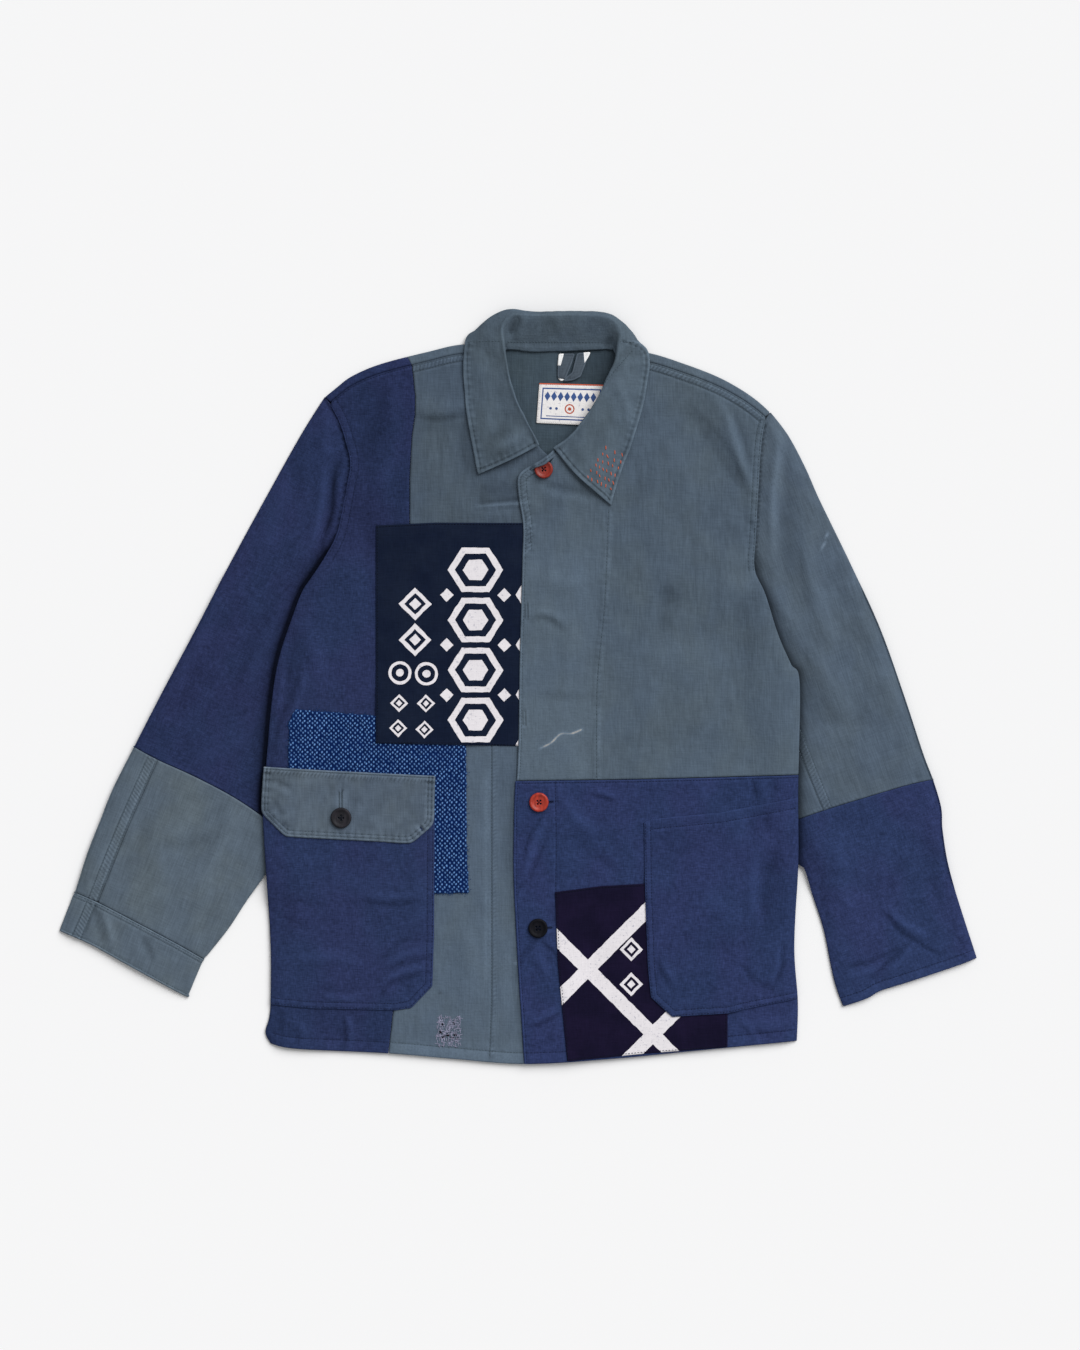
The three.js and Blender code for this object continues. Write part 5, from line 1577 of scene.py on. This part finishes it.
def right_sleeve_end(height, facts):
    outer, inner = part(RIGHT_SLEEVE_OUTER, -217, -63), part(RIGHT_SLEEVE_INNER, -289, -152)
    fell = part(RIGHT_FELL, -227, -76)[::-1]
    meets = [Seam(RIGHT_SLEEVE_SEAM, -1, free=True, wear=0.4),
             Seam(RIGHT_CUFF_SEAM, 1, valley=True, wear=0.6)]
    end = loop(part(RIGHT_SLEEVE_SEAM, -381.5, -251, 0), inner,
               part(RIGHT_CUFF_SEAM, -445.5, -333, 0)[::-1], fell)
    panel("right_sleeve_end_top", "green_sateen", end, height, [GREEN_CUFF],
          [Seam(RIGHT_FELL, 1, valley=True, wear=0.7), *meets], ["right_sleeve_end_under_cloth"],
          green_thread, **facts)
    whole = loop(outer, RIGHT_CUFF_SEAM, inner[::-1], part(RIGHT_SLEEVE_SEAM, -500, -251, 0)[::-1])
    band = loop(outer, part(RIGHT_CUFF_SEAM, -472, -446, 0), fell,
                part(RIGHT_SLEEVE_SEAM, -409, -382, 0)[::-1])
    felled = Seam(RIGHT_FELL, -1, **FELL)
    turned = panel_mesh(band, height, [felled, *meets], step=0.8 * FINE, **facts)
    round_the_edge("right_sleeve_end_under", whole, turned, band, (270.0, 246.0))
    for row in felled.stitch_rows():
        green_thread.sew(clothes["right_sleeve_end_under"], part(row, -228, -80))


def right_cuff(height, facts):
    outline = loop(RIGHT_CUFF_SEAM, part(RIGHT_SLEEVE_INNER, -326, -290), RIGHT_CUFF[::-1],
                   part(RIGHT_SLEEVE_OUTER, -258, -218)[::-1])
    seams = [
        Seam(RIGHT_CUFF_SEAM, -1, rows=(1.6, 4.4), free=True, wear=0.7, pucker=0.12),
        Seam(RIGHT_CUFF, 1, rows=(3.0,), free=True, wear=0.8, pucker=0.10),
        Seam(part(RIGHT_FELL, -271, -232), -1, **FELL),
    ]
    top = panel_mesh(outline, height, seams, step=0.9 * FINE, **facts)
    round_the_edge("right_cuff", outline, top, outline, (334.0, 58.0))
    sew_seams(green_thread, "right_cuff", seams)


def round_the_edge(name, outline, top, top_outline, size):
    """A green piece that lies on the floor and comes round to the front. size is its flat cut."""
    mesh = joined([hidden_ply(outline, creases=RIGHT_SLEEVE_CREASES), top])
    cloth_piece(name, mesh, [GREEN_CUFF], [outline, top_outline], size=size)


def beside_body(edge, level, strength):
    """Painted shadow where a sleeve goes in beside the body: a broad dark band below a level, and a thin
    dark line along the edge above it.
    """
    def marks(x, y):
        d, _, _ = nearest(edge, x, y, 30)
        below = ramp(level, level - 30, y)
        above = 0.7 * (1 - below) * bell(d - 1.4, 1.0)
        # painted shadow of the body's edge on the sleeve
        return 0 * x, strength * below * (0.7 * bell(d, 5) + 0.5 * bell(d, 13)) + above
    return marks


def left_sleeve_marks(x, y):
    scratch, _, _ = nearest(even([(328.4, 165), (325.4, 154), (321.2, 143.2)], 2), x, y, 6)
    _, shade = beside_body(BODY_LEFT, 150, 0.7)(x, y)
    return 1.25 * bell(scratch, 0.8), shade + 0.8 * bell(np.hypot(x - 386, y + 155.5), 1.8)


def left_sleeve():
    height = sleeve_lid(LEFT_SLEEVE_OUTER, LEFT_SLEEVE_INNER, LEFT_SLEEVE_CREASES, 51)
    facts = dict(creases=LEFT_SLEEVE_CREASES, marks=left_sleeve_marks,
                 wrap=along_edges(LEFT_SLEEVE_OUTER, LEFT_SLEEVE_INNER))
    seam_line = part(LEFT_SLEEVE_SEAM, 289.5, 441, 0)
    upper = loop(part(LEFT_SLEEVE_OUTER, -98, 291), seam_line[::-1],
                 part(LEFT_SLEEVE_INNER, -142, 125)[::-1], ARMHOLE_LEFT - (1.4, 0))
    seams = [
        Seam(LEFT_SLEEVE_SEAM, 1, free=True, valley=True, wear=0.4),
        Seam(LEFT_FELL, 1, rows=(0.0, 9.8), ladder=(0.8, 9.2), seed=9, pitch=4.0),
        Seam(part(LEFT_SLEEVE_SEAM, 289.5, 360, 0), 1, ladder=(1.0, 5.0), wear=0.0),
    ]
    panel("left_sleeve_top", "green_sateen", upper, height, [GREEN_SLEEVE], seams,
          ["left_sleeve_under_cloth"], green_thread, hump=dip_at(ARMHOLE_LEFT), **facts)
    cloth_piece("left_sleeve_under", hidden_ply(upper, creases=LEFT_SLEEVE_CREASES),
                [GREEN_SLEEVE], [upper])
    end = loop(seam_line, part(LEFT_SLEEVE_OUTER, -286, -99), LEFT_CUFF,
               part(LEFT_SLEEVE_INNER, -338, -143)[::-1])
    seams = [
        Seam(seam_line, -1, free=True, wear=0.3),
        Seam(LEFT_CUFF, -1, rows=(9.5,), free=True, wear=0.7, pucker=0.12),
    ]
    panel("left_sleeve_end_top", "blue_twill", end, height, [BLUE_CUFF], seams,
          ["left_sleeve_end_under_cloth"], blue_thread, **facts)
    cloth_piece("left_sleeve_end_under", hidden_ply(end, creases=LEFT_SLEEVE_CREASES),
                [BLUE_CUFF], [end])


# ---------------------------------------------------------------- collar
# Stations from the right front's end round the neck to the left's: the neck seam, the roll line,
# the middle of the fall and its edge. A height of None rests on the front below.
COLLAR_CLOTH = 1.5
COLLAR_CLEAR = 1.3  # air below the collar where it rests on the front
FALL_ARCH = 2.2  # how much higher the middle of the fall is
STITCH_COLUMN = 14  # columns of the collar's grid: where its edge stitching begins,
ROLL_COLUMN = 16  # the roll line
FALL_COLUMN = 22  # and the start of the fall
STITCH_MARGIN = 4.2  # from the collar's edge to its stitches
STATIONS = [
    [(17.5, 258, None), (22, 256, 9.5), (-8, 240, None), (-42, 225, None)],
    [(11, 271, None), (15.5, 268.5, 10.5), (-12, 256, None), (-46.5, 247, None)],
    [(2.5, 286, None), (7, 284.5, 11.5), (-20, 277, None), (-51, 272, None)],
    [(-6.5, 304, None), (-2, 303, 12.5), (-27, 301, None), (-55.5, 301, None)],
    [(-13.5, 325, None), (-9, 325, 13.5), (-32, 327, None), (-57.5, 329, None)],
    [(-17.5, 345, None), (-13, 346, 14), (-34, 350, 7.5), (-57.6, 352, None)],
    [(-14.5, 358.5, 3.2), (-16, 366, 14.5), (-37, 371, 8.5), (-54, 370, 2.2)],
    [(-10, 358.8, 1.8), (-16, 381, 15), (-37, 384.5, 6), (-41, 377.5, 1.6)],
    [(-2, 358.2, 1.4), (-6, 391.5, 15), (-13, 398.6, 6), (-15, 379, 1.6)],
    [(16, 356, 1.4), (16, 391, 15), (17, 394.8, 6), (18, 372, 1.6)],
    [(42, 356.6, 1.4), (43, 391.5, 15), (44, 394.9, 6), (44, 371, 1.6)],
    [(68, 358, 1.4), (69, 391.5, 15), (70, 395, 6), (70, 371, 1.6)],
    [(90, 358.8, 1.4), (96, 388.5, 15), (100, 391.5, 6), (96, 372, 1.6)],
    [(98, 358.9, 1.8), (107, 376, 15), (120.5, 375, 6), (116, 368.5, 1.6)],
    [(103, 358.5, 3.4), (106.5, 362, 14.5), (124, 362, 8), (134, 360, 2.2)],
    [(107, 344, None), (103.5, 344, 14), (121, 342, 8), (139.2, 344, None)],
    [(100, 326, None), (96, 328, 13.5), (114, 322, None), (136.5, 320, None)],
    [(91, 307, None), (87, 309.5, 12.5), (106, 299, None), (131, 292, None)],
    [(80, 288, None), (76, 291, 12.5), (96, 277, None), (123.5, 267, None)],
    [(66.5, 269.5, None), (62.5, 272.5, 12), (83, 256, None), (114, 241, None)],
    [(53, 256.5, None), (49, 259.5, 11.5), (71, 238, None), (105, 214, None)],
    [(42, 250, None), (38, 252.5, 11), (62, 224, None), (98.5, 192.5, None)],
]
COLLAR_CREASES = [
    ([(2, 392), (-4, 383), (-9, 372)], 4, -1.6),
    ([(10, 393), (4, 382), (0, 366)], 6, 0.7),
    ([(-20, 300), (-30, 280), (-34, 262)], 7, 0.8),
    ([(10, 262), (-6, 250), (-30, 236)], 5, -0.8),
    ([(4, 268), (-12, 257), (-34, 246)], 5, 0.7),
    ([(-5, 275), (-14, 268), (-34, 262)], 4, -0.6),
    ([(-46, 340), (-50, 310), (-46, 280)], 6, -0.6),
    ([(60, 262), (74, 240), (92, 222)], 7, 0.7),
    ([(88, 300), (96, 285), (112, 262)], 7, -0.7),
    ([(100, 330), (112, 306), (118, 276)], 6, 0.7),
    ([(100, 372), (96, 366), (90, 358)], 4, -1.0),
    ([(30, 390), (36, 380), (34, 368)], 6, -0.6),
    ([(58, 390), (64, 380), (60, 368)], 7, 0.6),
]


def front_top(x, y):
    """The level of the front's upper side at one point."""
    x, y = np.array([float(x)]), np.array([float(y)])
    under = np.minimum(y, y_at(TOP, x) - 0.5)
    on_left = left_front_ply(x, under) if x[0] > -20 else 0.0
    return float((front_height(x, under) + CLOTH + on_left)[0])


def spline(values, at):
    """Smooth values between evenly spaced knots, along the first axis."""
    v = np.concatenate([values[:1], values, values[-1:]])
    k = np.clip(np.floor(at).astype(int), 0, len(values) - 2)
    t = (at - k).reshape(-1, *([1] * (values.ndim - 1)))
    a, b, c, d = v[k], v[k + 1], v[k + 2], v[k + 3]
    return 0.5 * (2 * b + (c - a) * t + (2 * a - 5 * b + 4 * c - d) * t**2
                  + (3 * b - a - 3 * c + d) * t**3)


def close_at_ends(start, stop, count, near, share):
    """Values from start to stop, closer together within near of each end."""
    edge = np.linspace(0, near, int(count * share) + 1)
    middle = np.linspace(near, 1 - near, count - 2 * int(count * share) + 1)[1:-1]
    return start + (stop - start) * np.concatenate([edge, middle, 1 - edge[::-1]])


def collar_point(station, arch=0.0):
    """A point of a station. One with no height rests on the front."""
    x, y, z = station
    if z is None:
        z = front_top(x, y) + COLLAR_CLEAR + arch
    return np.array([x, y, z], float)


def collar_surface():
    """The underside of the folded collar as a grid: along the neck, then from neck seam to edge."""
    knots = []
    for neck, roll, middle, edge in STATIONS:
        low, roll, middle, edge = (collar_point(neck), collar_point(roll),
                                   collar_point(middle, FALL_ARCH), collar_point(edge))
        turn = np.array([*(0.8 * roll[:2] + 0.2 * middle[:2]), roll[2] - 1.5])
        knots.append([low, (low + roll) / 2, roll, turn, middle, edge])
    knots = np.array(knots)
    along = close_at_ends(0, len(knots) - 1, 230, 0.022, 0.06)
    rows = spline(knots, along)
    across = np.concatenate([np.linspace(0, 4, 34, endpoint=False),
                             np.linspace(4, 4.82, 14, endpoint=False), np.linspace(4.82, 5, 13)])
    return np.swapaxes(spline(np.swapaxes(rows, 0, 1), across), 0, 1)


def wobbled(base):
    """The collar's surface with an edge that isn't drawn with a ruler."""
    rows, columns = base.shape[:2]
    wobble = 0.6 * noise(np.arange(rows) / 2.2, np.zeros(rows), 3.2, 60)
    share = np.clip((np.arange(columns) - columns * 0.75) / (columns * 0.25), 0, 1)
    outward = base[:, -1] - base[:, -8]
    outward /= np.linalg.norm(outward, axis=1, keepdims=True)
    return base + (wobble[:, None] * share)[:, :, None] * (outward * (1, 1, 0))[:, None, :]


def collar_normals(base):
    """Unit normals of the grid, out of the fall's upper side, one row for each point."""
    rows, columns = base.shape[:2]
    normal = np.cross(np.gradient(base, axis=0), np.gradient(base, axis=1))
    normal /= np.maximum(np.linalg.norm(normal, axis=2, keepdims=True), 1e-9)
    if normal[rows // 6, columns - 6, 2] < 0:
        normal = -normal
    return normal.reshape(-1, 3)


def collar_relief(base):
    """What the collar's stitching, rubbing and creases add to each point: height, paleness, and darker
    patches. The paleness holds painted light and shade on ripples, creases and the stitch groove.
    """
    rows, columns = base.shape[:2]
    x, y = base[..., 0].ravel(), base[..., 1].ravel()
    rim = loop(base[0, ROLL_COLUMN:, :2], base[:, -1, :2], base[-1, ROLL_COLUMN:, :2][::-1])
    d, s, _ = nearest(rim, x, y, 30)
    fall = np.tile(np.arange(columns) >= FALL_COLUMN, rows)
    d = np.where(fall & (y < 366), d, 99)
    uneven = 0.6 + 0.4 * noise(s, d, 7, 61)
    ripple = np.sin(2 * np.pi * s / 7 + 3 * noise(s, 0 * s, 18, 62)) * bell(d - 5, 3.6)
    soft = 0.7 * noise(x, y, 30, 63) + 0.45 * noise(x, y, 13, 64) + 0.2 * noise(x, y, 6, 65)
    relief = -0.6 * bell(d - STITCH_MARGIN, 0.9) + 0.25 * bell(d - 6.0, 1.3) + 0.4 * bell(d - 1.8, 1.5)
    relief += 0.75 * ripple + soft * ramp(0, 12, np.minimum(d, 40)) + folds(x, y, COLLAR_CREASES)
    relief -= np.where(d < 0.3, 0.35, 0)
    pale = (0.9 * bell(d, 2.2) + 0.35 * bell(d - 6.0, 1.3)) * uneven
    # painted light and shade on the edge's ripples, and painted shade in the stitch groove
    pale += 0.22 * ripple - 0.35 * bell(d - STITCH_MARGIN, 0.8)
    # a paler left leaf, and painted crease shading: ridges paler, troughs darker
    pale += 0.16 * fall * ramp(55, 85, x) * (y < 350) + folds(x, y, COLLAR_CREASES, CREASE_SHADE)
    pale += fall * (0.10 * noise(x, y, 8, 68) + 0.08 * noise(x, y, 17, 69))
    profile = np.tile(np.arange(columns) / (columns - 1), rows)
    # paler along the roll line: rubbing on the fold, with painted highlight
    pale += 0.16 * bell(profile - 0.29, 0.035) * (1 + noise(x, y, 9, 66))
    piping = (profile < 0.06) & (y > 350)
    relief += np.where(piping, 0.9, 0)
    pale += np.where(piping, 0.12, 0)
    return relief, pale, 0.14 * ramp(0.3, -0.4, noise(x, y, 24, 67)) * fall


def grid_faces(rows, columns):
    """The faces of a thick grid. The inner side's points come first, then the outer side's."""
    n = rows * columns
    cell = np.arange(n).reshape(rows, columns)
    a, b, c, d = (k.ravel() for k in (cell[:-1, :-1], cell[1:, :-1], cell[1:, 1:], cell[:-1, 1:]))
    sides = [np.column_stack([a + n, b + n, c + n, d + n]), np.column_stack([d, c, b, a])]
    rim = np.concatenate([cell[:, 0], cell[-1, 1:], cell[-2::-1, -1], cell[0, -2:0:-1]])
    onward = np.roll(rim, -1)
    walls = np.column_stack([rim, onward, onward + n, rim + n])
    return np.stack(sides, axis=1).reshape(-1, 4).tolist() + walls.tolist()


def collar():
    base = wobbled(collar_surface())
    rows, columns = base.shape[:2]
    normal = collar_normals(base)
    relief, pale, soil_and_shadow = collar_relief(base)
    inner = base.reshape(-1, 3).copy()
    outer = inner + normal * (COLLAR_CLOTH + relief)[:, None]
    inner[:, 2] = np.maximum(inner[:, 2], 0.2)
    outer[:, 2] = np.maximum(outer[:, 2], 0.6)
    faces = grid_faces(rows, columns)
    a, b, c = (outer[k - rows * columns] for k in faces[0][:3])
    if np.dot(np.cross(b - a, c - a), normal[0]) < 0:
        faces = [face[::-1] for face in faces]
    obj = mesh_object("collar_cloth", np.vstack([inner, outer]), faces, [GREEN_COLLAR], None,
                      {"wear": np.tile(pale, 2), "soil_and_shadow": np.tile(soil_and_shadow, 2)})
    adopt(obj, "collar")
    first, last = (base[k, :STITCH_COLUMN - 1:-1, :2] for k in (0, -1))
    sew_collar(even(part(loop(first, base[1:, -1, :2], last), 0, 362), 2.5))
    sashiko()


def sew_collar(line):
    """Stitches inside the collar's edge, on whichever side of the line the cloth is."""
    stitched = shifted(line, STITCH_MARGIN)
    if clothes["collar"].drop(stitched[len(stitched) // 2]) is None:
        stitched = shifted(line, -STITCH_MARGIN)
    green_thread.sew(clothes["collar"], stitched)


def sashiko():
    """Hand stitches in rusty red on the left tip of the collar, in slanting rows."""
    rng = random.Random(12)
    thread = Threads("sashiko_stitches", RED_THREAD, "sashiko_thread")
    for k, count in enumerate((6, 6, 6, 5, 4, 3)):
        share = k / 5
        start = np.array([74 + 19 * share, 222 + 31 * share])
        stop = np.array([98.6 + 12 * share, 210 + 35 * share])
        for i in range(count):
            p = start + (stop - start) * i / (count - 1) + (rng.uniform(-0.9, 0.9), rng.uniform(-0.9, 0.9))
            lean = math.radians(rng.uniform(82, 118))
            reach = rng.uniform(3.4, 5.0) / 2
            way = np.array([math.cos(lean), math.sin(lean)]) * reach
            thread.lay(clothes["collar"], p - way, p + way, 0.55, 0.3)
    thread.build()


# ---------------------------------------------------------------- inside the neck
LABEL_CORNERS = np.array([(22.5, 322.3), (92, 320.5), (89, 276.7), (19.4, 280)], float)


def on_label(u, v):
    """A point of the label: u from its left edge to its right, v from its top down."""
    a, b, c, d = LABEL_CORNERS
    u, v = np.asarray(u, float)[..., None], np.asarray(v, float)[..., None]
    return (1 - v) * ((1 - u) * a + u * b) + v * ((1 - u) * d + u * c)


def label_box(u0, v0, u1, v1):
    return corners(on_label([u0, u1, u1, u0, u0], [v0, v0, v1, v1, v0]), 2.2)[:-1]


def label_print():
    """A frame, a row of diamonds, a ring between dots, and one stripe."""
    shapes = [(label_box(0.0, -0.01, 1.0, 0.035), 2), (label_box(0.055, 0.11, 0.95, 0.90), 1),
              (label_box(0.075, 0.145, 0.93, 0.865), 0)]
    for k in range(8):
        u = 0.14 + 0.1 * k
        diamond = on_label([u, u + 0.045, u, u - 0.045, u], [0.20, 0.32, 0.44, 0.32, 0.20])
        shapes.append((corners(diamond, 2)[:-1], 1))
    for u, radius, place in ((0.49, 5.4, 2), (0.49, 4.0, 0), (0.49, 1.9, 2), (0.2, 1.5, 1),
                             (0.29, 1.5, 1), (0.69, 1.5, 1), (0.78, 1.5, 1)):
        shapes.append((circle(*on_label(u, 0.62), radius), place))
    return [*shapes, (label_box(0.14, 0.80, 0.85, 0.822), 1)]


def neck_label():
    outline = corners([*LABEL_CORNERS, LABEL_CORNERS[0]], 2.5)[:-1]
    seams = [round_seam(outline, rows=(1.4,), free=True, wear=0.1)]
    height = lambda x, y: PLY + 0.25 + 0.35 * bell(x - 50, 24) + 0.12 * noise(x, y, 14, 71)
    mesh = panel_mesh(outline, height, seams, step=1.2, thickness=0.7, **printed(label_print()))
    cloth_piece("neck_label", mesh, [LABEL, LABEL_BLUE, LABEL_RUST], [outline],
                3.0)
    thread = Threads("stitches_label", thread_look("thread_label", (205, 203, 200)), "label_cotton")
    sew_seams(thread, "neck_label", seams, stitch=1.6, gap=0.8, radius=0.2)
    thread.build()


# Two strands of one folded tape, each with the white selvage that shows on it.
LOOP_STRANDS = [
    (0.2, [(43, 353.5), (60.5, 353.8), (57, 343), (53.5, 334), (50.5, 327), (46, 323.5), (41.8, 328),
           (42, 341)],
     [loop((42, 355), (49, 355), (45.2, 341), (41.5, 341)),
      loop((40, 330), (42.5, 327.5), (52, 325.8), (52, 321), (40, 321))]),
    (1.3, [(62.5, 354), (77.4, 355.3), (74, 348.5), (70, 338), (66.5, 329), (58, 324.8), (47.5, 323.6),
           (50.5, 328.5), (57, 333)],
     [loop((69.5, 356.5), (79, 356.5), (70.6, 343.6))]),
]


def rounded(points):
    """A closed outline through corners, with the corners taken off."""
    around = corners([*points, points[0]], 2.0)[:-1]
    return (np.roll(around, 1, 0) + 2 * around + np.roll(around, -1, 0)) / 4


def strand(lift, points, white):
    outline = rounded(points)
    return panel_mesh(outline, lambda x, y: PLY + lift + 0.5 * bell(y - 340, 12),
                      [round_seam(outline, rows=(2.2,), free=True, wear=1.2)], step=1.8,
                      inlays=white, groups=[1] * len(white))


def hanger_loop():
    mesh = joined([strand(*facts) for facts in LOOP_STRANDS])
    cloth_piece("hanger_loop", mesh, [LOOP, SELVAGE],
                [points for _, points, _ in LOOP_STRANDS], 2.0)


# ---------------------------------------------------------------- darn
DARN_HOLES = ((-82, -366, 2.2), (-79, -371, 2.4), (-74.5, -368.5, 2.4), (-70, -371.5, 2.2),
              (-66.5, -368.5, 2.4), (-80, -358, 1.4), (-68, -357, 1.2), (-64, -373, 1.6))


def darn():
    """Criss-cross mending near the hem of the right front, with holes left in it."""
    rng = random.Random(21)
    thread = Threads("darn_threads", DARN_THREAD, "green_sateen")
    cloth = clothes["right_front"]
    for _ in range(230):
        p = np.array([-73.5 + rng.uniform(-13, 13), -365 + rng.uniform(-16, 16)])
        upright = rng.random() < 0.6
        reach = rng.uniform(1.2, 3.4)
        lean = math.radians((90 if upright else 0) + rng.uniform(-24, 24))
        way = np.array([math.cos(lean), math.sin(lean)]) * reach
        thread.lay(cloth, p - way, p + way, 0.24, 0.35)
    thread.build()
    # the holes are dark spindles of thread: painted shade seen through the holes
    holes = Threads("darn_holes", thread_look("thread_hole_shade", (30, 24, 34)), "dark_indigo")
    for x, y, reach in DARN_HOLES:
        for k in (-1, 0, 1):
            middle = np.array([x + rng.uniform(-0.8, 0.8), y + 0.9 * k])
            start = middle - (reach * 0.8, rng.uniform(-0.5, 0.5))
            stop = middle + (reach * 0.8, rng.uniform(-0.5, 0.5))
            holes.lay(cloth, start, stop, 0.55, 0.1)
    holes.build()


# ---------------------------------------------------------------- buttons
# Across half a button, as shares of its radius: its top and its underside, as shares of its height.
BUTTON_REACH = np.array([0, 0.55, 0.66, 0.78, 0.90, 0.97, 1.0])
BUTTON_TOP = np.array([0.56, 0.58, 0.70, 0.96, 1.0, 0.82, 0.5])
BUTTON_BELOW = np.array([0.0, 0.0, 0.0, 0.02, 0.12, 0.26, 0.44])
BUTTON_RINGS = (0.985, 0.94, 0.88, 0.82, 0.75, 0.69, 0.63, 0.56)
BUTTON_CLEAR = 0.6  # thread between a button and the cloth


def button(name, at, radius, thickness, hole, pitch, level, look, slot, turn=50):
    """A four-hole button with a raised rim on the cloth at this level, and the thread through it.
    pitch is how far its holes are from its middle, turn how far round they are in degrees."""
    x0, y0 = at
    z0 = level + BUTTON_CLEAR
    angles = [math.radians(turn + 90 * k) for k in range(4)]
    places = [(x0 + math.cos(a) * pitch, y0 + math.sin(a) * pitch) for a in angles]
    drills = [circle(*place, hole) for place in places]
    rings = [circle(x0, y0, share * radius) for share in BUTTON_RINGS]
    xy, tris, _ = fill(circle(x0, y0, radius), 0.9, [], drills, rings, ring=0)
    r = np.hypot(xy[:, 0] - x0, xy[:, 1] - y0) / radius
    top, below = (z0 + thickness * np.interp(r, BUTTON_REACH, shares)
                  for shares in (BUTTON_TOP, BUTTON_BELOW))
    points, faces, _ = thicken(xy, tris, top, below)
    obj = mesh_object(name + "_disc", points, faces, [look])
    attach(obj, "root")
    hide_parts(name)
    thread_top = z0 + 0.62 * thickness
    for a, b in ((places[0], places[2]), (places[1], places[3])):
        middle = (x0, y0, thread_top + 0.25)
        dark_thread.add((*a, thread_top - 0.9), middle, 0.34, 0.3)
        dark_thread.add(middle, (*b, thread_top - 0.9), 0.34, 0.3)


def buttons():
    at = (27.2, 230.5)  # under the edge of the left front, so its level isn't found by a drop
    level = float(left_height(np.array(at[:1]), np.array(at[1:]))[0]) + CLOTH
    button("button_collar", at, 9.8, 2.9, 0.95, 2.2, level, COLLAR_BUTTON, "red_button")
    for name, at, cloth, size, look, slot, turn in (
            ("button_front_2", (22.2, -122.1), "left_front_lower", (10.3, 3.0, 1.05, 2.3),
             RED_BUTTON, "red_button", 50),
            ("button_front_3", (21.2, -255.5), "left_front_lower", (10.3, 3.0, 1.05, 2.3),
             BLACK_BUTTON, "black_button", 50),
            ("button_flap", (-187.2, -138.5), "right_pocket_flap", (11.0, 3.2, 1.05, 2.4),
             FLAP_BUTTON, "black_button", 0)):
        button(name, at, *size, clothes[cloth].drop(at)[2], look, slot, turn)


# ---------------------------------------------------------------- the jacket
back()
right_sleeve()
left_sleeve()
right_side_front()
right_front()
darn()
patch_speckled()
patch_dark()
right_pocket()
right_pocket_flap()
left_front_upper()
left_front_lower()
patch_lattice()
left_pocket()
hanger_loop()
neck_label()
collar()
buttons()
for thread in (green_thread, blue_thread, dark_thread):
    thread.build()


# ---------------------------------------------------------------- floor, light and camera
SKY = 0.44  # strength of the even light from all round
KEY = 2.83  # strength of the lamp
LAMP_FROM = (0.75, 0.9, 1.0)
FLOOR_REACH = 30.0  # half a side, metres
FLOOR_DROP = 0.0004  # metres below the jacket


def floor():
    r, z = FLOOR_REACH, -FLOOR_DROP
    mesh = bpy.data.meshes.new("floor")
    mesh.from_pydata([(-r, -r, z), (r, -r, z), (r, r, z), (-r, r, z)], [], [(0, 1, 2, 3)])
    plane = bpy.data.objects.new("floor", mesh)
    bpy.context.scene.collection.objects.link(plane)
    look = bpy.data.materials.new("floor_paper")
    look.use_nodes = True
    shader = look.node_tree.nodes["Principled BSDF"]
    shader.inputs["Base Color"].default_value = (0.9, 0.9, 0.905, 1)
    shader.inputs["Roughness"].default_value = 1.0
    shader.inputs["Specular IOR Level"].default_value = 0.0
    mesh.materials.append(look)


def light():
    world = bpy.data.worlds.new("studio")
    bpy.context.scene.world = world
    world.use_nodes = True
    sky = world.node_tree.nodes["Background"]
    sky.inputs["Color"].default_value = (1, 1, 1, 1)
    sky.inputs["Strength"].default_value = SKY
    lamp = bpy.data.lights.new("key", "SUN")
    lamp.energy = KEY
    lamp.angle = math.radians(45)
    holder = bpy.data.objects.new("key", lamp)
    holder.location = LAMP_FROM
    holder.rotation_euler = Vector(LAMP_FROM).to_track_quat("Z", "Y").to_euler()
    bpy.context.scene.collection.objects.link(holder)


CENTRE = (0.0233, 0.0127)  # what the camera looks at, metres
LONG_SIDE = 1.431  # what the picture's height takes in, metres
LENS = 85.0
SENSOR = 36.0


def camera():
    data = bpy.data.cameras.new("camera")
    data.lens = LENS
    data.sensor_width = SENSOR
    view = bpy.data.objects.new("camera", data)
    view.location = (*CENTRE, LONG_SIDE * LENS / SENSOR + 0.004)
    bpy.context.scene.collection.objects.link(view)
    bpy.context.scene.camera = view
    bpy.context.scene.view_settings.view_transform = "Standard"


floor()
light()
camera()
